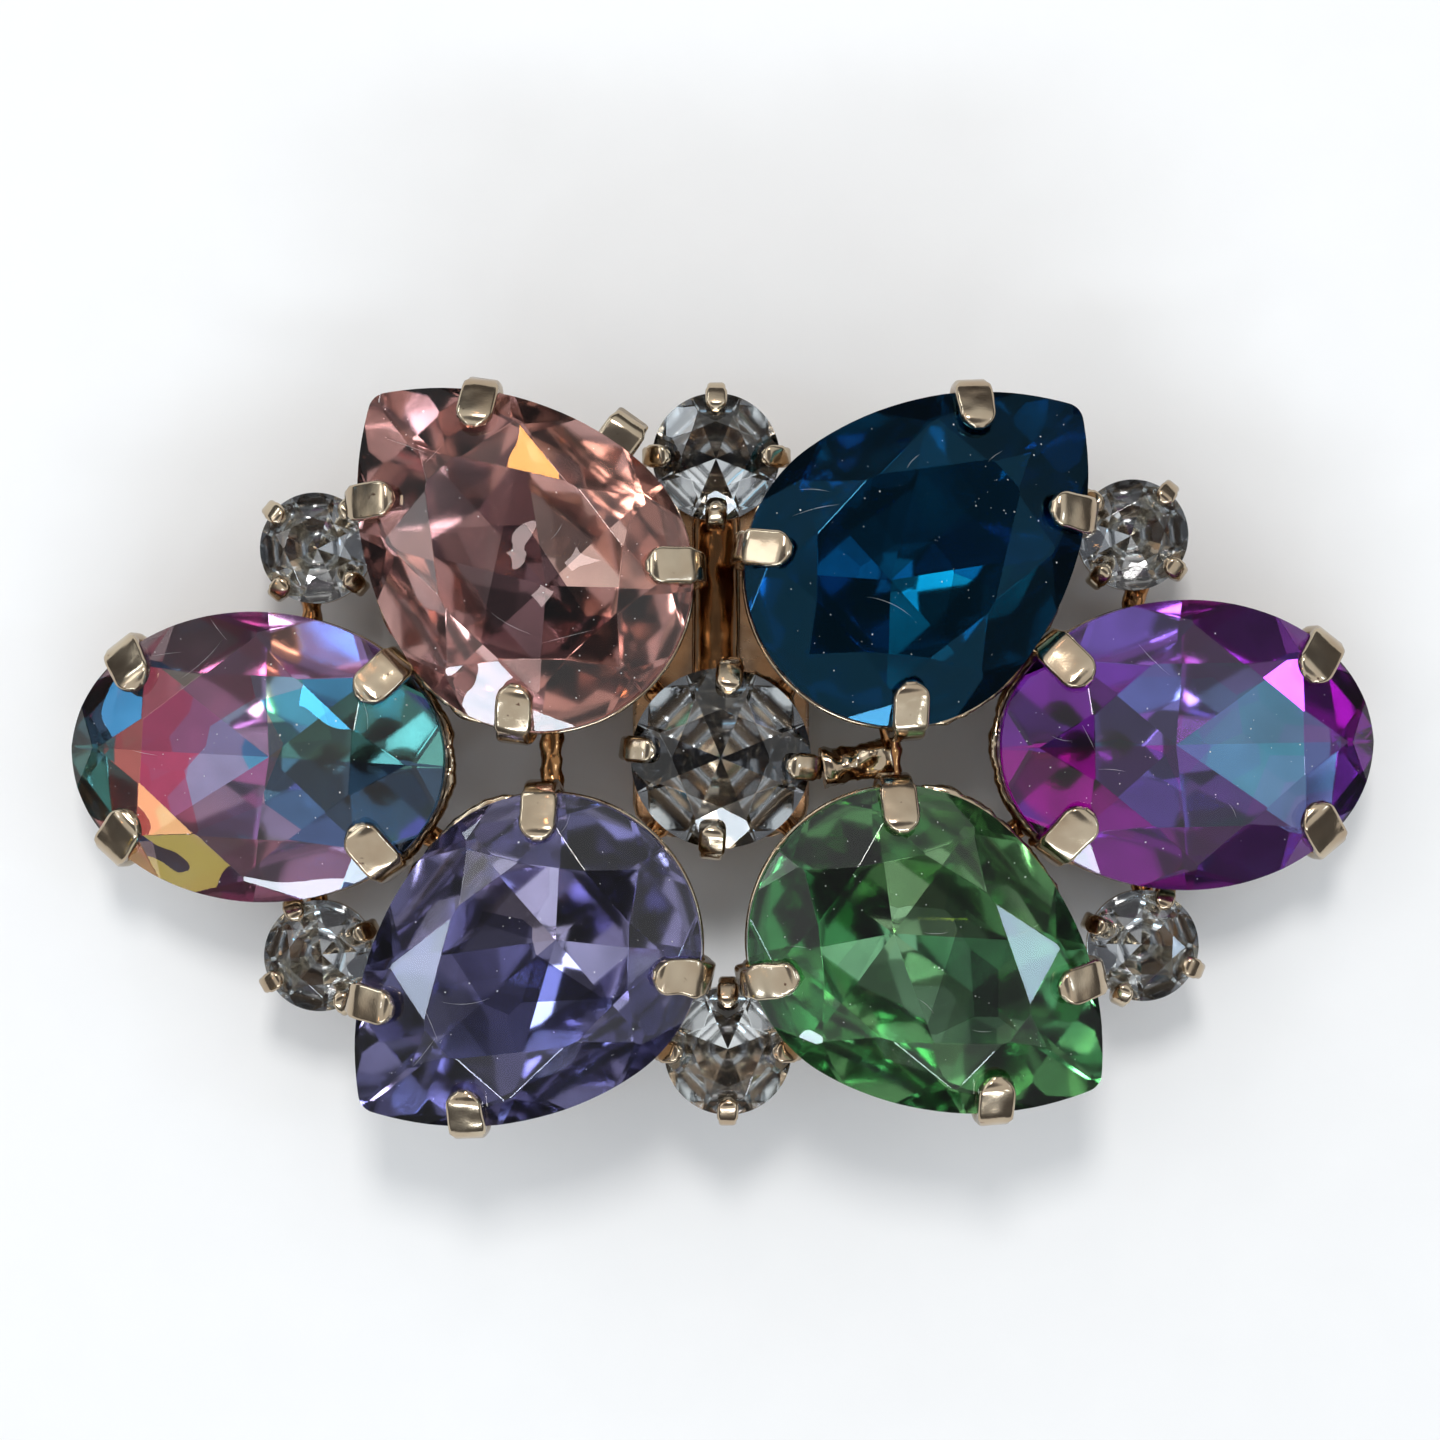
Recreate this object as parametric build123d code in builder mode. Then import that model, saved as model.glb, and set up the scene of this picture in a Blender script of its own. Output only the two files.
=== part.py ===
from build123d import *
from dataclasses import dataclass
from math import atan2, cos, degrees, hypot, radians, sin, sqrt, tan
import os

os.makedirs("parts", exist_ok=True)

# A shoe clip of thirteen cut glass stones, each in a claw cup, lying face up on its
# spring clip. The origin is on the underside of the clip, below the centre stone.
# +X runs along the piece's length, +Y towards the top round stone, +Z out of its face.

# Stones, across the girdle
pear_length = 18.0
pear_width = 13.6
pear_swell = 84.0           # direction where a pear's round end meets its flanks
pear_tip_radius = 0.9
oval_length = 17.5
oval_width = 13.0
centre_width = 8.0
end_width = 5.7
corner_width = 5.0

# Spring clip, bent from one strip
clip_width = 8.0
clip_metal = 0.8
clip_grip = 2.0             # slot between the two leaves
clip_mouth = 3.6            # from the centre stone's axis back to the open end
clip_bend_short = 2.6       # the bend starts this far short of the top stone's axis
clip_corner = 1.6

# Clearances
stone_gap = 0.08            # between a stone and the metal that holds it
clip_seat = 0.05            # between the clip and the frame that stands on it
claw_gap = 0.3              # between an oval's claws and the pears above them
pear_gap = 0.4              # in plan, between a pear and the centre stone
oval_gap = 0.2              # in plan, between an oval and the pears
top_tuck = 0.1              # how far the top round slips under the pears
bottom_tuck = 0.5
corner_tuck = 0.35

# Heights and slopes
centre_rise = 3.4           # the centre stone's girdle above the clip
end_rise = 2.2
oval_rise = 1.6
corner_rise = 0.55
pear_lean = 9.0
oval_lean = 13.0

# Solder, strap and tab
tie_radius = 0.6
strap_width = 2.2
strap_metal = 1.0
strap_edge = 0.3
tab_width = 1.9
tab_reach = 1.1
tab_metal = 0.8
tab_angle = -77.0           # where the tab stands on the rose pear, from its point

# Facets: slopes of each row as shares of the main row's
half_pitch = 1.3
star_pitch = 0.6
lower_half_pitch = 1.2
kite_reach = 1.08           # the kites end this far outside the table's own edge

# Claws
claw_round = 0.8            # share of the metal and of the half width rounded off at corners
claw_steps = 12             # steps along a claw where its clearance is tried

search_turns = 180          # directions tried round an outline
least_approach = 0.05       # directions that a slide hardly closes on are left out


@dataclass
class Cut:
    """One size of stone and the claw cup made for it. Directions are from its point."""
    length: float
    width: float
    crown: float
    girdle: float
    pavilion: float
    table: float            # share of the outline
    mains: list             # directions of the main facets
    claws: list             # directions of the claws
    claw_width: float
    claw_metal: float
    claw_reach: float
    claw_leg: float
    wall: float
    cup_flare: float        # how much wider the cup is at its rim than at its foot
    cup_depth: float = 0.0  # left to the rise where the cup's foot stands on the clip
    pointed: bool = False


@dataclass
class Seat:
    """One stone's place: its cut, and where and how its cup stands."""
    name: str
    cut: Cut
    x: float
    y: float
    level: float
    heading: float
    lean: float = 0.0

    def plane(self):
        h, t = radians(self.heading), radians(self.lean)
        return Plane(
            origin=(self.x, self.y, self.level),
            x_dir=(cos(h) * cos(t), sin(h) * cos(t), -sin(t)),
            z_dir=(cos(h) * sin(t), sin(h) * sin(t), cos(t)),
        )


def even_ring(count, first):
    return [first + 360 / count * step for step in range(count)]


def oval_ring(length, width, steps):
    """Directions square to an oval's edge at even steps round it."""
    return [degrees(atan2(length * sin(radians(s)), width * cos(radians(s)))) for s in steps]


pear_cut = Cut(
    length=pear_length, width=pear_width, crown=1.6, girdle=0.65, pavilion=3.8, table=0.56,
    mains=[-158, -116, -74, -38, 38, 74, 116, 158], claws=[-129, -51, 51, 129],
    claw_width=1.65, claw_metal=0.5, claw_reach=1.9, claw_leg=1.2,
    wall=0.5, cup_flare=1.6, cup_depth=3.6, pointed=True,
)
oval_cut = Cut(
    length=oval_length, width=oval_width, crown=1.5, girdle=0.65, pavilion=3.1, table=0.56,
    mains=oval_ring(oval_length, oval_width, even_ring(8, 22.5)),
    claws=oval_ring(oval_length, oval_width, [43, 137, 223, 317]),
    claw_width=1.8, claw_metal=0.5, claw_reach=2.1, claw_leg=1.2,
    wall=0.5, cup_flare=1.3, cup_depth=2.5,
)
centre_cut = Cut(
    length=centre_width, width=centre_width, crown=1.1, girdle=0.5, pavilion=2.8, table=0.5,
    mains=even_ring(8, 0), claws=even_ring(4, -6),
    claw_width=1.2, claw_metal=0.45, claw_reach=1.1, claw_leg=1.0,
    wall=0.45, cup_flare=0.9,
)
end_cut = Cut(
    length=end_width, width=end_width, crown=0.85, girdle=0.4, pavilion=1.95, table=0.5,
    mains=even_ring(8, 0), claws=even_ring(4, 0),
    claw_width=1.0, claw_metal=0.4, claw_reach=0.85, claw_leg=0.8,
    wall=0.4, cup_flare=0.6,
)
corner_cut = Cut(
    length=corner_width, width=corner_width, crown=0.8, girdle=0.4, pavilion=1.75, table=0.5,
    mains=even_ring(8, 0), claws=even_ring(4, 45),
    claw_width=0.9, claw_metal=0.4, claw_reach=0.7, claw_leg=0.8,
    wall=0.4, cup_flare=0.6, cup_depth=1.9,
)


def flank(cut):
    """A pear's flank arc: its centre, off to the far side, its radius and end direction."""
    r, d, a = cut.width / 2, cut.length - cut.width / 2, radians(pear_swell)
    radius = (d * d + r * r - 2 * d * r * cos(a)) / (2 * (r - d * cos(a)))
    x, y = (r - radius) * cos(a), (r - radius) * sin(a)
    return x, y, radius, degrees(atan2(-y, d - x))


def edge_point(cut, direction):
    """The point of the girdle whose edge faces the direction."""
    turn = (direction + 180) % 360 - 180
    a = radians(turn)
    if not cut.pointed:
        half, side = cut.length / 2, cut.width / 2
        size = hypot(half * cos(a), side * sin(a))
        return half * half * cos(a) / size, side * side * sin(a) / size
    if abs(turn) >= pear_swell:
        return cut.width / 2 * cos(a), cut.width / 2 * sin(a)
    x, y, radius, point = flank(cut)
    if abs(turn) <= point:
        return cut.length - cut.width / 2, 0.0
    side = 1 if turn > 0 else -1
    return x + radius * cos(a), side * y + radius * sin(a)


def reach(cut, direction):
    """How far the girdle stands out from the stone's axis in a direction."""
    x, y = edge_point(cut, direction)
    return x * cos(radians(direction)) + y * sin(radians(direction))


def rows(mains):
    """The directions of the halves, two to a main facet, and of the stars between."""
    ahead = mains[1:] + [mains[0] + 360]
    halves = [m + (n - m) * part for m, n in zip(mains, ahead) for part in (0.25, 0.75)]
    stars = [(m + n) / 2 for m, n in zip(mains, ahead)]
    return halves, stars


def crown_facets(cut):
    """Each crown facet: its direction, its rise per mm inward, and its height at the girdle."""
    halves, stars = rows(sorted(cut.mains))
    kite_end = kite_reach * cut.table
    found = []
    for a in cut.mains:
        found.append((a, cut.crown / (reach(cut, a) * (1 - kite_end)), 0.0))
    for a in halves:
        found.append((a, half_pitch * cut.crown / (reach(cut, a) * (1 - kite_end)), 0.0))
    for a in stars:
        rise = star_pitch * cut.crown / (reach(cut, a) * (1 - kite_end))
        found.append((a, rise, cut.crown - rise * reach(cut, a) * (1 - cut.table)))
    return found


def pavilion_facets(cut):
    halves, _ = rows(sorted(cut.mains))
    mains = [(a, cut.pavilion / reach(cut, a)) for a in cut.mains]
    return mains + [(a, lower_half_pitch * cut.pavilion / reach(cut, a)) for a in halves]


def crown_height(cut, x, y):
    """The crown's height above the girdle's top edge at a point inside the outline."""
    heights = [cut.crown]
    for a, rise, start in crown_facets(cut):
        inward = reach(cut, a) - x * cos(radians(a)) - y * sin(radians(a))
        heights.append(start + rise * inward)
    return min(heights)


def back_depth(cut, x, y):
    """The depth of the stone's back below the girdle's lower edge at a point."""
    return min(rise * (reach(cut, a) - x * cos(radians(a)) - y * sin(radians(a)))
               for a, rise in pavilion_facets(cut))


def deepest_back(cut, inset):
    """The most that the back reaches down along a line set in from the outline."""
    depths = []
    for direction in even_ring(search_turns, 0):
        x, y = edge_point(cut, direction)
        depths.append(back_depth(cut, x - inset * cos(radians(direction)),
                                 y - inset * sin(radians(direction))))
    return max(depths)


def rim_drop(cut):
    """How far the cup's rim stays below the girdle for the stone's back to clear it."""
    return deepest_back(cut, cut.wall) + stone_gap


def girdle_outline(cut, grow):
    """Sketch of the stone's outline, its point along +X, grown or shrunk all round."""
    with BuildSketch() as outline:
        if not cut.pointed:
            Ellipse(cut.length / 2 + grow, cut.width / 2 + grow)
        else:
            x, y, radius, point = flank(cut)
            r, arc = cut.width / 2 + grow, radius + grow
            tip = x + sqrt(arc * arc - y * y)
            middle = radians((pear_swell + degrees(atan2(-y, tip - x))) / 2)
            swell = (r * cos(radians(pear_swell)), r * sin(radians(pear_swell)))
            bulge = (x + arc * cos(middle), y + arc * sin(middle))
            with BuildLine():
                ThreePointArc(swell, (-r, 0), (swell[0], -swell[1]))
                ThreePointArc((swell[0], -swell[1]), (bulge[0], -bulge[1]), (tip, 0))
                ThreePointArc((tip, 0), bulge, swell)
            make_face()
            fillet(outline.vertices().sort_by(Axis.X)[-1], pear_tip_radius)
    return outline.sketch


def cut_stone(cut):
    """A faceted stone in its own frame, z=0 at the lower edge of its girdle."""
    with BuildPart() as stone:
        with Locations((0, 0, cut.girdle + cut.crown)):
            Box(2 * cut.length, 2 * cut.length, cut.girdle + cut.crown + cut.pavilion,
                align=(Align.CENTER, Align.CENTER, Align.MAX))
        for a, rise, start in crown_facets(cut):
            out = (cos(radians(a)), sin(radians(a)))
            at = (reach(cut, a) * out[0], reach(cut, a) * out[1], cut.girdle + start)
            split(bisect_by=Plane(at, z_dir=(rise * out[0], rise * out[1], 1)), keep=Keep.BOTTOM)
        for a, rise in pavilion_facets(cut):
            out = (cos(radians(a)), sin(radians(a)))
            at = (reach(cut, a) * out[0], reach(cut, a) * out[1], 0)
            split(bisect_by=Plane(at, z_dir=(rise * out[0], rise * out[1], -1)), keep=Keep.BOTTOM)
        with Locations((0, 0, -cut.pavilion)):
            add(extrude(girdle_outline(cut, 0), cut.girdle + cut.crown + cut.pavilion,
                        mode=Mode.PRIVATE), mode=Mode.INTERSECT)
    return stone.part


def claw(cut, direction):
    """A claw that climbs the cup, turns over the girdle and lies on the crown. Its own
    frame stands on the girdle's lower edge, with +X outward."""
    px, py = edge_point(cut, direction)
    out = (cos(radians(direction)), sin(radians(direction)))
    rim, lean = rim_drop(cut), cut.cup_flare / cut.cup_depth
    half, metal, far = cut.claw_width / 2, cut.claw_metal, cut.claw_reach

    def height(inward, aside):
        return crown_height(cut, px - inward * out[0] - aside * out[1],
                            py - inward * out[1] + aside * out[0])

    slope = height(far, 0) / far
    across = claw_steps // 4
    tries = [(far * i / claw_steps, half * j / across)
             for i in range(claw_steps + 1) for j in range(-across, across + 1)]
    under = cut.girdle + stone_gap + max(height(u, v) - slope * u for u, v in tries)
    outer = stone_gap + metal
    foot = -rim - cut.claw_leg
    with BuildPart() as bar:
        with BuildSketch(Plane.XZ):
            with BuildLine():
                Polyline(
                    (-lean * cut.claw_leg - cut.wall / 2, foot),
                    (stone_gap, -rim),
                    (stone_gap, under - slope * stone_gap),
                    (-far, under + slope * far),
                    (-far, under + slope * far + metal),
                    (outer, under - slope * outer + metal),
                    (outer, 0),
                    (metal / 2 - lean * cut.claw_leg, foot),
                    close=True,
                )
            make_face()
        extrude(amount=half, both=True)
        knuckle = bar.edges().filter_by(Axis.Y).sort_by(lambda e: e.center().X + e.center().Z)[-1]
        fillet(knuckle, metal * claw_round)
        fillet(bar.edges().filter_by(Axis.Z).sort_by(Axis.X)[:2], half * claw_round)
    return bar.part


def claw_cup(cut):
    """An open tapered cup with its claws, in the stone's frame."""
    rim = rim_drop(cut)
    foot = rim + cut.cup_depth
    with BuildPart() as cup:
        for inset, mode in ((0, Mode.ADD), (cut.wall, Mode.SUBTRACT)):
            with BuildSketch(Plane.XY.offset(-rim)):
                add(girdle_outline(cut, -inset))
            with BuildSketch(Plane.XY.offset(-foot)):
                add(girdle_outline(cut, -inset - cut.cup_flare))
            loft(ruled=True, mode=mode)
        for direction in cut.claws:
            x, y = edge_point(cut, direction)
            out = (cos(radians(direction)), sin(radians(direction)), 0)
            with Locations(Plane(origin=(x, y, 0), x_dir=out, z_dir=(0, 0, 1))):
                add(claw(cut, direction))
    return cup.part


# Where the stones sit

def apart(first, second, direction):
    """The plan distance between two outlines, measured along a direction."""
    a = radians(direction)
    between = (second.x - first.x) * cos(a) + (second.y - first.y) * sin(a)
    return (between - reach(first.cut, direction - first.heading)
            - reach(second.cut, direction + 180 - second.heading))


def facing(first, second):
    """The direction in which two outlines stand furthest apart."""
    return max(even_ring(search_turns, 0), key=lambda way: apart(first, second, way))


def slide_clear(seat, bearing, neighbours):
    """Move a seat along a bearing until its outline stands its gap away from each neighbour."""
    travel = 0
    for other, gap in neighbours:
        runs = []
        for way in even_ring(search_turns, 0):
            along = cos(radians(bearing - way))
            if along > least_approach:
                runs.append((gap - apart(other, seat, way)) / along)
        travel = max(travel, min(runs))
    seat.x += travel * cos(radians(bearing))
    seat.y += travel * sin(radians(bearing))
    return seat


clip_top = 2 * clip_metal + clip_grip
stand = clip_top + clip_seat
centre_cut.cup_depth = centre_rise - rim_drop(centre_cut)
end_cut.cup_depth = end_rise - rim_drop(end_cut)
oval_claw_top = (
    oval_rise + edge_point(oval_cut, oval_cut.claws[0])[0] * sin(radians(oval_lean))
    + oval_cut.girdle + oval_cut.claw_metal + stone_gap
)
pear_dip = pear_width / 6 * sin(radians(pear_lean))  # the pears' fall to where the claws pass
pear_level = stand + oval_claw_top + claw_gap + pear_dip

centre = Seat("centre_round_stone", centre_cut, 0, 0, stand + centre_rise, 0)

pears = []
for name, bearing, heading in (
    ("rose_pear_stone", 135.3, 132.4),
    ("teal_pear_stone", 46.3, 42.3),
    ("violet_pear_stone", 227.5, 220.8),
    ("green_pear_stone", 314.7, 323.7),
):
    pear = Seat(name, pear_cut, 0, 0, pear_level, heading, pear_lean)
    pears.append(slide_clear(pear, bearing, [(centre, pear_gap)]))
rose, teal, violet, green = pears

ovals = []
for name, start, heading, pair in (
    ("red_oval_stone", 0.04, 177.0, (rose, violet)),
    ("purple_oval_stone", 0.58, 1.0, (teal, green)),
):
    oval = Seat(name, oval_cut, 0, start, stand + oval_rise, heading, oval_lean)
    ovals.append(slide_clear(oval, 180 if heading > 90 else 0, [(p, oval_gap) for p in pair]))
red, purple = ovals

top = slide_clear(
    Seat("top_round_stone", end_cut, -0.22, 0, stand + end_rise, 0),
    90, [(rose, -top_tuck), (teal, -top_tuck)],
)
bottom = slide_clear(
    Seat("bottom_round_stone", end_cut, 0.31, 0, stand + end_rise, 0),
    270, [(violet, -bottom_tuck), (green, -bottom_tuck)],
)

corners = []
for name, oval, pear, bearing, gap, turn in (
    ("upper_left_round_stone", red, rose, 75.7, 0.65, 4),
    ("upper_right_round_stone", purple, teal, 103.4, 0.65, 6),
    ("lower_left_round_stone", red, violet, -73.9, 0.15, -17),
    ("lower_right_round_stone", purple, green, -101.2, 0.15, 21),
):
    corner = Seat(name, corner_cut, oval.x, oval.y, stand + corner_rise, turn)
    slide_clear(corner, bearing, [(oval, gap)])
    corners.append(slide_clear(corner, facing(pear, corner), [(pear, -corner_tuck)]))
upper_left, upper_right, lower_left, lower_right = corners

seats = [centre, *pears, *ovals, top, bottom, *corners]


# Stones

cuts = [pear_cut, oval_cut, centre_cut, end_cut, corner_cut]
shapes = {id(cut): cut_stone(cut) for cut in cuts}
cups = {id(cut): claw_cup(cut) for cut in cuts}

for seat in seats:
    with BuildPart() as stone:
        with Locations(seat.plane()):
            add(shapes[id(seat.cut)])
    stone.part.label = seat.name
    export_step(stone.part, f"parts/{seat.name}.step")


# Claw frame: the cups and what is soldered between them

def wall_point(seat, direction, share):
    """The middle of a cup's wall where it faces a direction, a share of the way down."""
    turn = direction - seat.heading
    x, y = edge_point(seat.cut, turn)
    inset = seat.cut.wall / 2 + share * seat.cut.cup_flare
    x, y = x - inset * cos(radians(turn)), y - inset * sin(radians(turn))
    drop = rim_drop(seat.cut) + share * seat.cut.cup_depth
    return seat.plane().from_local_coords(Vector(x, y, -drop))


def tie_share(cut):
    """The highest share of a cup's depth where a tie's end clears the stone's back."""
    drop = tie_radius + deepest_back(cut, cut.wall + tie_radius) + stone_gap
    return (drop - rim_drop(cut)) / cut.cup_depth


def tie_ends(first, second):
    """The two ends of a tie, in the walls of two neighbouring cups, near the lower's middle."""
    way = facing(first, second)
    sides = ((first, way), (second, way + 180))
    level = min(wall_point(seat, side, 0.5).Z for seat, side in sides)
    ends = []
    for seat, side in sides:
        rim, foot = wall_point(seat, side, 0).Z, wall_point(seat, side, 1).Z
        share = min(max((rim - level) / (rim - foot), tie_share(seat.cut)), 1)
        ends.append(wall_point(seat, side, share))
    return ends


ties = [(centre, pear) for pear in pears]
ties += [(top, rose), (top, teal), (bottom, violet), (bottom, green)]
ties += [(red, rose), (red, violet), (purple, teal), (purple, green)]
ties += [(rose, violet), (teal, green)]
ties += [(upper_left, red), (upper_left, rose), (upper_right, purple), (upper_right, teal)]
ties += [(lower_left, red), (lower_left, violet), (lower_right, purple), (lower_right, green)]

side_claw = radians(centre_cut.claws[0])
side_reach = centre_width / 2 + stone_gap + centre_cut.claw_metal / 2
side_claw_middle = centre.plane().from_local_coords(
    Vector(side_reach * cos(side_claw), side_reach * sin(side_claw), 0))
teal_end, green_end = tie_ends(teal, green)
tie_runs = [tie_ends(first, second) for first, second in ties]
tie_runs.append((side_claw_middle, (teal_end + green_end) / 2))  # from the centre's right claw

with BuildPart() as solder:
    for near, far in tie_runs:
        with Locations(Plane(origin=near, z_dir=far - near)):
            Cylinder(tie_radius, (far - near).length,
                     align=(Align.CENTER, Align.CENTER, Align.MIN))

strap_start = centre_width / 2 - centre_cut.cup_flare - centre_cut.wall / 2
strap_end = top.y - end_width / 2 + end_cut.cup_flare + end_cut.wall / 2
with BuildPart() as strap:
    with Locations((top.x, strap_start, stand)):
        Box(strap_width, strap_end - strap_start, strap_metal,
            align=(Align.CENTER, Align.MIN, Align.MIN))
    fillet(strap.edges().filter_by(Axis.Y).group_by(Axis.Z)[-1], strap_edge)

tab_turn = tab_angle + rose.heading
tab_root = wall_point(rose, tab_turn, 0)
with BuildPart() as tab:
    with Locations(Plane(
        origin=(tab_root.X, tab_root.Y, tab_root.Z),
        x_dir=(cos(radians(tab_turn)), sin(radians(tab_turn)), 0),
        z_dir=(0, 0, 1),
    )):
        Box(rose.cut.wall / 2 + tab_reach, tab_width, tab_metal,
            align=(Align.MIN, Align.CENTER, Align.MAX))

with BuildPart() as claw_frame:
    add([cups[id(seat.cut)].moved(seat.plane().location) for seat in seats])
    add(solder.part.solids())
    add([strap.part, tab.part])
claw_frame.part.label = "claw_frame"
export_step(claw_frame.part, "parts/claw_frame.step")


# Shoe clip: a strip folded back on itself, open at the end away from the top stone

bend = top.y - clip_bend_short
with BuildPart() as shoe_clip:
    with BuildSketch(Plane.YZ):
        with BuildLine():
            Polyline((bend, 0), (-clip_mouth, 0), (-clip_mouth, clip_metal), (bend, clip_metal))
            ThreePointArc((bend, clip_metal), (bend + clip_grip / 2, clip_top / 2),
                          (bend, clip_metal + clip_grip))
            Polyline((bend, clip_metal + clip_grip), (-clip_mouth, clip_metal + clip_grip),
                     (-clip_mouth, clip_top), (bend, clip_top))
            ThreePointArc((bend, clip_top), (bend + clip_top / 2, clip_top / 2), (bend, 0))
        make_face()
    extrude(amount=clip_width / 2, both=True)
    fillet(shoe_clip.edges().filter_by(Axis.Z).group_by(Axis.Y)[0], clip_corner)
shoe_clip.part.label = "shoe_clip"
export_step(shoe_clip.part, "parts/shoe_clip.step")
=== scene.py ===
import bpy
import bmesh
import random
from math import atan2, cos, degrees, hypot, pi, radians, sin, sqrt
from mathutils import Matrix, Vector, noise


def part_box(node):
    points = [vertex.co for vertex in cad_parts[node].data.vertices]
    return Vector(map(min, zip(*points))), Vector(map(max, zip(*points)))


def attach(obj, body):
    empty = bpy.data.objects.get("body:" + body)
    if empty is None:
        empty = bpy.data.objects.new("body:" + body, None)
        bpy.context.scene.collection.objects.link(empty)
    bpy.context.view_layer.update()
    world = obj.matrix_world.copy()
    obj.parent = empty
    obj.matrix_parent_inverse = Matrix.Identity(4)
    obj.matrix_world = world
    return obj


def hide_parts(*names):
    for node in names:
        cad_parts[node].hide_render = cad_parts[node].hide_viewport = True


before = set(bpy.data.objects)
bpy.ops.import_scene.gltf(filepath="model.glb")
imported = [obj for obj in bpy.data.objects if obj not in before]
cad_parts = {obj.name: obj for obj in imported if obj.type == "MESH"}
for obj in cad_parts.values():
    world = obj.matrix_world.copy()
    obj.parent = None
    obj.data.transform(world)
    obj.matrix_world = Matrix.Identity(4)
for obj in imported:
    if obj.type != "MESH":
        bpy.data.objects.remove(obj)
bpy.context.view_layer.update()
print("frame loaded: %d nodes" % len(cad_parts))

noise.seed_set(5)  # so that the metal's lumps come out the same on every run

# Lengths are millimetres in the part's own frame. makePiece turns them into metres.
mm = 0.001
ringSteps = 144  # points round every outline
ringDirections = [360 * i / ringSteps for i in range(ringSteps)]
stoneGap = 0.08  # air between a stone and its claws
clipGap = 0.05  # air between the cups and the spring clip
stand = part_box("shoe_clip")[1][2] / mm + clipGap  # the height that the cups stand at


# The five sizes of stone, each with the cup made for it. Directions are in degrees from
# the stone's point, or from its right end where it has none. "mains" are the directions of
# the main facets, and "table" is the flat top's share of the width.
pearCut = {
    "length": 18.0, "width": 13.6, "swell": 84.0, "tipRadius": 0.9,
    "crown": 1.6, "girdle": 0.65, "pavilion": 3.8, "table": 0.56,
    "mains": [-158, -116, -74, -38, 38, 74, 116, 158],
    "claws": [-129, -51, 51, 129],
    "clawWidth": 1.65, "clawMetal": 0.5, "clawReach": 1.9, "clawLeg": 1.2,
    "wall": 0.5, "cupDepth": 3.6, "cupFlare": 1.6,
}
ovalCut = {
    "length": 17.5, "width": 13.0,
    "crown": 1.5, "girdle": 0.65, "pavilion": 3.1, "table": 0.56,
    "mains": [-150.86, -107.1, -72.9, -29.14, 29.14, 72.9, 107.1, 150.86],
    "claws": [51.46, 128.54, -128.54, -51.46],
    "clawWidth": 1.8, "clawMetal": 0.5, "clawReach": 2.1, "clawLeg": 1.2,
    "wall": 0.5, "cupDepth": 2.5, "cupFlare": 1.3,
}
evenMains = [0, 45, 90, 135, 180, 225, 270, 315]
centreCut = {
    "length": 8.0, "width": 8.0,
    "crown": 1.1, "girdle": 0.5, "pavilion": 2.8, "table": 0.5,
    "mains": evenMains,
    "claws": [-6, 84, 174, 264],
    "clawWidth": 1.2, "clawMetal": 0.45, "clawReach": 1.1, "clawLeg": 1.0,
    "wall": 0.45, "cupFlare": 0.9,
}
endCut = {
    "length": 5.7, "width": 5.7,
    "crown": 0.85, "girdle": 0.4, "pavilion": 1.95, "table": 0.5,
    "mains": evenMains,
    "claws": [0, 90, 180, 270],
    "clawWidth": 1.0, "clawMetal": 0.4, "clawReach": 0.85, "clawLeg": 0.8,
    "wall": 0.4, "cupFlare": 0.6,
}
cornerCut = {
    "length": 5.0, "width": 5.0,
    "crown": 0.8, "girdle": 0.4, "pavilion": 1.75, "table": 0.5,
    "mains": evenMains,
    "claws": [45, 135, 225, 315],
    "clawWidth": 0.9, "clawMetal": 0.4, "clawReach": 0.7, "clawLeg": 0.8,
    "wall": 0.4, "cupDepth": 1.9, "cupFlare": 0.6,
}
# How steep the small facets are against the main ones, and how far the mains reach to the table
facetSlopes = {"main": 1.0, "half": 1.3, "star": 0.6, "lowerHalf": 1.2, "kiteReach": 1.08}


def aim(direction):
    # the step of length 1 in a direction given in degrees
    a = radians(direction)
    return cos(a), sin(a)


def flankOf(cut):
    # centre of a pear's upper flank arc and its radius
    r = cut["width"] / 2
    d = cut["length"] - r
    across, up = aim(cut["swell"])
    radius = (d * d + r * r - 2 * d * r * across) / (2 * (r - d * across))
    return (r - radius) * across, (r - radius) * up, radius


def outlineAt(cut, direction, grow=0.0, tipRadius=None):
    # the point of the outline whose edge faces a direction
    turn = (direction + 180) % 360 - 180
    across, up = aim(turn)
    if "swell" not in cut:
        half = cut["length"] / 2
        side = cut["width"] / 2
        size = hypot(half * across, side * up)
        return half * half * across / size + grow * across, side * side * up / size + grow * up
    if tipRadius is None:
        tipRadius = cut["tipRadius"]
    x, y, radius = flankOf(cut)
    r = cut["width"] / 2 + grow
    radius += grow
    tipX = x + sqrt((radius - tipRadius) ** 2 - y * y)
    tipTurn = degrees(atan2(-y, tipX - x))
    if abs(turn) >= cut["swell"]:
        return r * across, r * up
    if abs(turn) <= tipTurn:
        return tipX + tipRadius * across, tipRadius * up
    side = 1 if turn > 0 else -1
    return x + radius * across, side * y + radius * up


def insetPoint(cut, direction, inset):
    # set in from the outline, with a pear's point left sharp as its facets take it
    x, y = outlineAt(cut, direction, 0.0, 0.0)
    across, up = aim(direction)
    return x - inset * across, y - inset * up


def reachOf(cut, direction):
    # how far the girdle stands out in a direction
    x, y = outlineAt(cut, direction, 0.0, 0.0)
    across, up = aim(direction)
    return x * across + y * up


def facetRows(cut):
    mains = sorted(cut["mains"])
    ahead = mains[1:] + [mains[0] + 360]
    halves = []
    stars = []
    for near, far in zip(mains, ahead):
        halves.append(near + (far - near) * 0.25)
        halves.append(near + (far - near) * 0.75)
        stars.append((near + far) / 2)
    return {"main": mains, "half": halves, "star": stars}


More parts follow.
